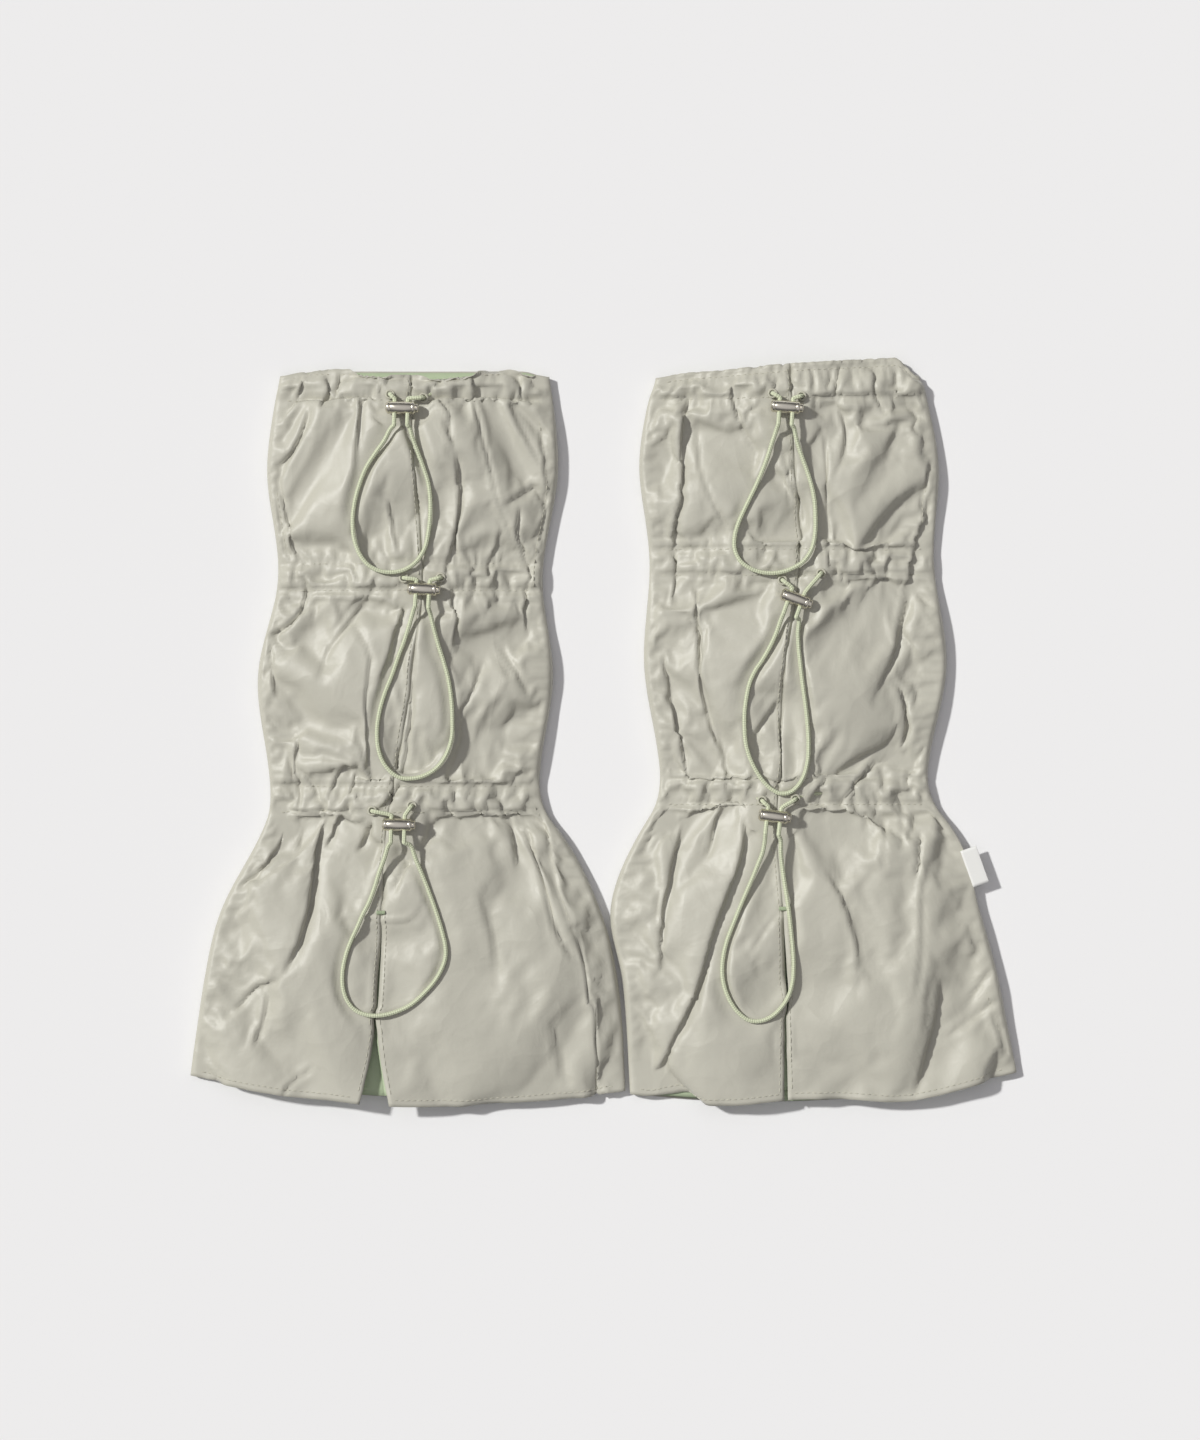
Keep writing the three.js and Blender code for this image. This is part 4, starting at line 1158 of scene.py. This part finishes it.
def add_tack(outline):
    """The bar tack at the top of the slit: a core of long stitches covered by short ones across it."""
    node_name = f"{outline.name}_slit_tack"
    low, high = [np.array(c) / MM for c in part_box(node_name)]
    middle = (low + high) / 2
    half = (high - low) / 2
    base = low[2] - 0.25
    routes = []
    for y in (-0.45, 0.0, 0.45):
        core = [(middle[0] + x, middle[1] + y, base + 0.25) for x in np.linspace(-half[0], half[0], 5)]
        routes.append(np.array(core))
    for x in np.arange(-half[0] + 0.3, half[0] - 0.2, 0.48):
        routes.append(np.array([
            (middle[0] + x + 0.08 * t, middle[1] + half[1] * t, base + 0.62 * math.sqrt(max(1 - t * t, 0)))
            for t in (-1, -0.8, -0.4, 0, 0.4, 0.8, 1)
        ]))
    points, faces = threads(routes, TACK_THREAD_RADIUS)
    mesh_piece(
        f"{outline.name}_bar_tack", points, faces, "tack_thread", f"{outline.name}_gaiter", [node_name],
    )


def add_label():
    """A folded woven tab, blank, with its two ends caught in the side seam."""
    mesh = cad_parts["right_side_label"]
    corners = [np.array(mesh.matrix_world @ v.co) / MM for v in mesh.data.vertices]
    low, high = [np.array(c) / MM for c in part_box("right_side_label")]
    top = min(corners, key=lambda p: p[0])[:2]
    bottom = min(corners, key=lambda p: p[1])[:2]
    outer = max(corners, key=lambda p: p[0])[:2]
    along, out = top - bottom, outer - bottom
    reach = np.linalg.norm(out)
    out = out / reach
    half = (high[2] - low[2]) / 2 - 0.16
    centre = (high[2] + low[2]) / 2
    profile = [(reach * s, half) for s in np.linspace(0, 1 - half / reach, 8)]
    profile += [(reach - half + half * math.sin(a), half * math.cos(a)) for a in np.linspace(0.3, 2.84, 7)]
    profile += [(reach * s, -half) for s in np.linspace(1 - half / reach, 0, 8)]
    points = []
    for share in np.linspace(0, 1, 14):
        for far, height in profile:
            place = bottom + along * share + out * far
            curl = 0.12 * math.sin(2.6 * share + 0.5) * far / reach
            points.append((*place, centre + height + curl))
    piece = mesh_piece(
        "right_folded_label", points, grid_faces(14, len(profile)), "label_weave", None,
        ["right_side_label"],
    )
    thick = piece.modifiers.new("weave", "SOLIDIFY")
    thick.thickness = 0.3 * MM
    thick.offset = 0
    solid = piece.evaluated_get(bpy.context.evaluated_depsgraph_get())
    piece.data = bpy.data.meshes.new_from_object(solid)
    piece.modifiers.clear()
    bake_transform(piece)


# ---- Drawcords and their metalwork ----
def add_cord(name, outline, front):
    cord = DRAWCORDS[name]
    body = f"{outline.name}_gaiter"
    route = spline(loop_route(name), 0.8)
    points, faces, uv = tube(route, CORD_RADIUS, 14)
    loop = mesh_piece(
        f"{name}_drawcord", points, faces, "elastic_cord", f"{name}_loop", [f"{name}_cord_loop"], uv,
    )
    place = casing_place(name)
    left, _, _, right = [float(v[0]) for v in outline.at(np.array([place[1]]))]
    deep = CLOTH + 0.4 + CORD_RADIUS
    run = []
    for side, border, eyelet in ((-1, left, cord["eyelets"][0]), (1, right, cord["eyelets"][1])):
        start = place + np.array(eyelet)
        half = [(*start, FABRIC_TOP + GAP), (*start, FABRIC_TOP - 1.0)]
        half.append((start[0] + side * 4, start[1] + (place[1] - start[1]) * 0.4, FABRIC_TOP - 3.2))
        for share in (0.25, 0.5, 0.75, 1.0):
            x = start[0] + side * 8 + share * (border - side * (SIDE_ROLL + 4) - start[0] - side * 8)
            xs, ys = np.array([[x]]), np.array([[place[1]]])
            height = front.at(xs, ys, left, right)[0, 0, 3]
            half.append((x, place[1], min(height, FABRIC_TOP) - deep - 0.5))
        half.append((border - side * (deep + 0.3), place[1], SEAM_HEIGHT))
        half.append((border - side * (SIDE_ROLL + 4), place[1], BACK_HEIGHT + deep + 0.5))
        run.append(half)
    route = spline(run[0] + run[1][::-1], 1.6)
    points, faces, uv = tube(route, CORD_RADIUS, 10)
    mesh_piece(f"{name}_casing_cord", points, faces, "elastic_cord", body, [f"{name}_cord_run"], uv)
    for word, eyelet in zip(("left", "right"), cord["eyelets"]):
        points, faces = eyelet_ring()
        centre = np.array([*(place + np.array(eyelet)), FABRIC_TOP])
        mesh_piece(
            f"{name}_{word}_buttonhole", points + centre, faces, "eyelet_thread", body,
            [f"{name}_eyelet_{word}"],
        )


def eyelet_ring():
    """An embroidered eyelet: a raised ring of satin stitches laid outwards from the hole."""
    around, section = 96, 12
    points = []
    for i in range(around):
        angle = 2 * math.pi * i / around
        ridge = 0.07 * math.cos(math.pi * i)
        for j in range(section):
            turn = 2 * math.pi * j / section
            radius = 2.25 + 0.62 * math.cos(turn)
            height = 0.08 + (0.52 + ridge) * math.sin(turn)
            if turn > math.pi:
                radius = min(radius, 2.15)
                height = min(height, 1.1 * math.sin(turn))
            points.append((radius * math.cos(angle), radius * math.sin(angle), height))
    points = np.array(points)
    faces = []
    for i in range(around):
        k = (i + 1) % around
        for j in range(section):
            m = (j + 1) % section
            faces.append((i * section + j, k * section + j, k * section + m, i * section + m))
    return points, faces


def turned(profile, sides):
    """A closed solid turned about X from (x, radius) points, starting and ending on the axis."""
    points = [(profile[0][0], 0, 0)]
    for x, radius in profile[1:-1]:
        for k in range(sides):
            angle = 2 * math.pi * k / sides
            points.append((x, radius * math.cos(angle), radius * math.sin(angle)))
    points.append((profile[-1][0], 0, 0))
    rings = len(profile) - 2
    faces = [(0, 1 + (k + 1) % sides, 1 + k) for k in range(sides)]
    for i in range(rings - 1):
        for k in range(sides):
            a, b = 1 + i * sides + k, 1 + i * sides + (k + 1) % sides
            faces.append((a, b, b + sides, a + sides))
    last, base = len(points) - 1, 1 + (rings - 1) * sides
    faces += [(last, base + k, base + (k + 1) % sides) for k in range(sides)]
    return points, faces


def drilled(points, faces, holes, radius):
    """The same solid with round or slotted holes through it along Y, each (from X, to X)."""
    def temporary(name, points, faces):
        mesh = bpy.data.meshes.new(name)
        mesh.from_pydata(points, [], faces)
        made = bpy.data.objects.new(name, mesh)
        bpy.context.scene.collection.objects.link(made)
        return made

    body = temporary("turned", points, faces)
    cutters = []
    for low, high in holes:
        outline = []
        for k in range(28):
            angle = 2 * math.pi * (k + 0.5) / 28
            x = (high if math.cos(angle) > 0 else low) + radius * math.cos(angle)
            outline.append((x, radius * math.sin(angle)))
        count = len(outline)
        drill = [(x, -9.0, z) for x, z in outline] + [(x, 9.0, z) for x, z in outline]
        sides = [(k, (k + 1) % count, (k + 1) % count + count, k + count) for k in range(count)]
        ends = [tuple(range(count))[::-1], tuple(range(count, 2 * count))]
        cutter = temporary("drill", drill, sides + ends)
        cut = body.modifiers.new("cut", "BOOLEAN")
        cut.operation, cut.solver, cut.object = "DIFFERENCE", "EXACT", cutter
        cutters.append(cutter)
    bpy.context.view_layer.update()
    result = body.evaluated_get(bpy.context.evaluated_depsgraph_get()).to_mesh()
    found = [tuple(v.co) for v in result.vertices], [tuple(p.vertices) for p in result.polygons]
    for made in (body, *cutters):
        bpy.data.objects.remove(made)
    return found


HOLE_RADIUS = CORD_RADIUS + 0.3
SHELL_ENDS = (-8.75, 7.75)
BORE = 2.9
PLUNGER_RADIUS = 2.6
PLUNGER_ENDS = (-6.15, 9.95)
COIL_RADIUS = 0.19
COIL_ENDS = (SHELL_ENDS[0] + 0.7 + 0.3, PLUNGER_ENDS[0] - 0.3)
PRESS = 1.0  # how far the plunger is pressed


def lock_shapes():
    low, high = SHELL_ENDS
    r = LOCK_RADIUS
    shell = drilled(*turned([
        (low, 0), (low, r - 1.3), (low + 0.25, r - 0.95), (low + 1.0, r - 0.25), (low + 1.15, r - 0.05),
        (low + 1.3, r), (low + 2.1, r), (low + 2.2, r - 0.08), (low + 2.28, r - 0.3), (low + 2.6, r - 0.3),
        (low + 2.68, r - 0.12), (low + 2.8, r - 0.05), (high - 2.4, r - 0.05), (high - 2.28, r - 0.12),
        (high - 2.2, r - 0.3), (high - 1.9, r - 0.3), (high - 1.82, r - 0.08), (high - 1.7, r),
        (high - 0.55, r), (high - 0.4, r - 0.05), (high - 0.1, r - 0.3), (high, r - 0.42), (high, BORE),
        (low + 0.7, BORE), (low + 0.7, 0),
    ], 48), [(x, x + 0.01) for x in (-HOLE_PITCH / 2, HOLE_PITCH / 2)], HOLE_RADIUS)
    low, high = PLUNGER_ENDS
    r = PLUNGER_RADIUS
    plunger = drilled(*turned([
        (low, 0), (low, r - 0.3), (low + 0.3, r), (high - 1.75, r), (high - 1.65, r - 0.15),
        (high - 1.5, r - 0.15), (high - 1.4, r), (high - 0.75, r), (high - 0.4, r - 0.15),
        (high - 0.12, r - 0.6), (high, r - 1.3), (high, 0),
    ], 40), [(x, x + PRESS) for x in (-HOLE_PITCH / 2, HOLE_PITCH / 2)], HOLE_RADIUS)
    coil = []
    start, end = COIL_ENDS
    for i in range(49):
        turn = 2 * math.pi * i / 24
        x = start + (end - start) * i / 48
        coil.append((x, 2.2 * math.cos(turn), 2.2 * math.sin(turn)))
    points, faces, _ = tube(coil, COIL_RADIUS, 8)
    return {
        "barrel": (*shell, "lock_nickel", "lock", "lock_shell"),
        "button": (*plunger, "lock_nickel", "plunger", "lock_plunger"),
        "coil": (points, faces, "spring_steel", "lock", "lock_spring"),
    }


def add_lock(name, shapes):
    matrix = np.array(lock_matrix(name))
    for part, (points, faces, slot, body, stands_for) in shapes.items():
        placed = np.array([tuple(p) for p in points]) @ matrix[:3, :3].T + matrix[:3, 3]
        piece = mesh_piece(
            f"{name}_{part}", placed, faces, slot, f"{name}_{body}", [f"{name}_{stands_for}"],
        )
        if part != "coil":
            piece.data.set_sharp_from_angle(angle=math.radians(35))
            continue
        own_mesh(piece)


# ---- Stage and light ----
def add_stage():
    mesh = bpy.data.meshes.new("floor")
    far = 6.0
    mesh.from_pydata([(-far, -far, 0), (far, -far, 0), (far, far, 0), (-far, far, 0)], [], [(0, 1, 2, 3)])
    floor = bpy.data.objects.new("floor", mesh)
    material, _, shader = new_material("floor", srgb(235, 235, 235), 1.0, Specular_IOR_Level=0.0)
    mesh.materials.append(material)
    bpy.context.scene.collection.objects.link(floor)


def add_light():
    sun = bpy.data.lights.new("key", "SUN")
    sun.energy = 3.0
    sun.angle = math.radians(4)
    sun.color = (1.0, 0.995, 0.975)
    key = bpy.data.objects.new("key", sun)
    towards = Vector((0.86, -0.42, -0.93))
    key.rotation_mode = "QUATERNION"
    key.rotation_quaternion = towards.to_track_quat("-Z", "Y")
    bpy.context.scene.collection.objects.link(key)
    world = bpy.data.worlds.new("studio")
    world.use_nodes = True
    background = world.node_tree.nodes["Background"]
    background.inputs["Color"].default_value = (0.985, 0.965, 1.0, 1)
    tree = world.node_tree
    direction = node(tree, "ShaderNodeTexCoord").outputs["Generated"]
    above = node(tree, "ShaderNodeSeparateXYZ", {"Vector": direction})
    glow = node(
        tree, "ShaderNodeMapRange",
        {"Value": above.outputs["Z"], "From Min": 0.45, "From Max": 0.95, "To Min": 0.12, "To Max": 0.6},
        interpolation_type="SMOOTHSTEP",
    )
    tree.links.new(glow.outputs["Result"], background.inputs["Strength"])
    bpy.context.scene.world = world


bpy.context.scene.view_settings.view_transform = "Standard"
add_stage()
add_light()
shapes = lock_shapes()
for word, seed in (("left", 11), ("right", 23)):
    outline, front = add_fabric(word, seed)
    add_stitching(outline, front)
    add_tack(outline)
    for casing in CASINGS:
        add_lock(f"{word}_{casing}", shapes)
        add_cord(f"{word}_{casing}", outline, front)

add_label()
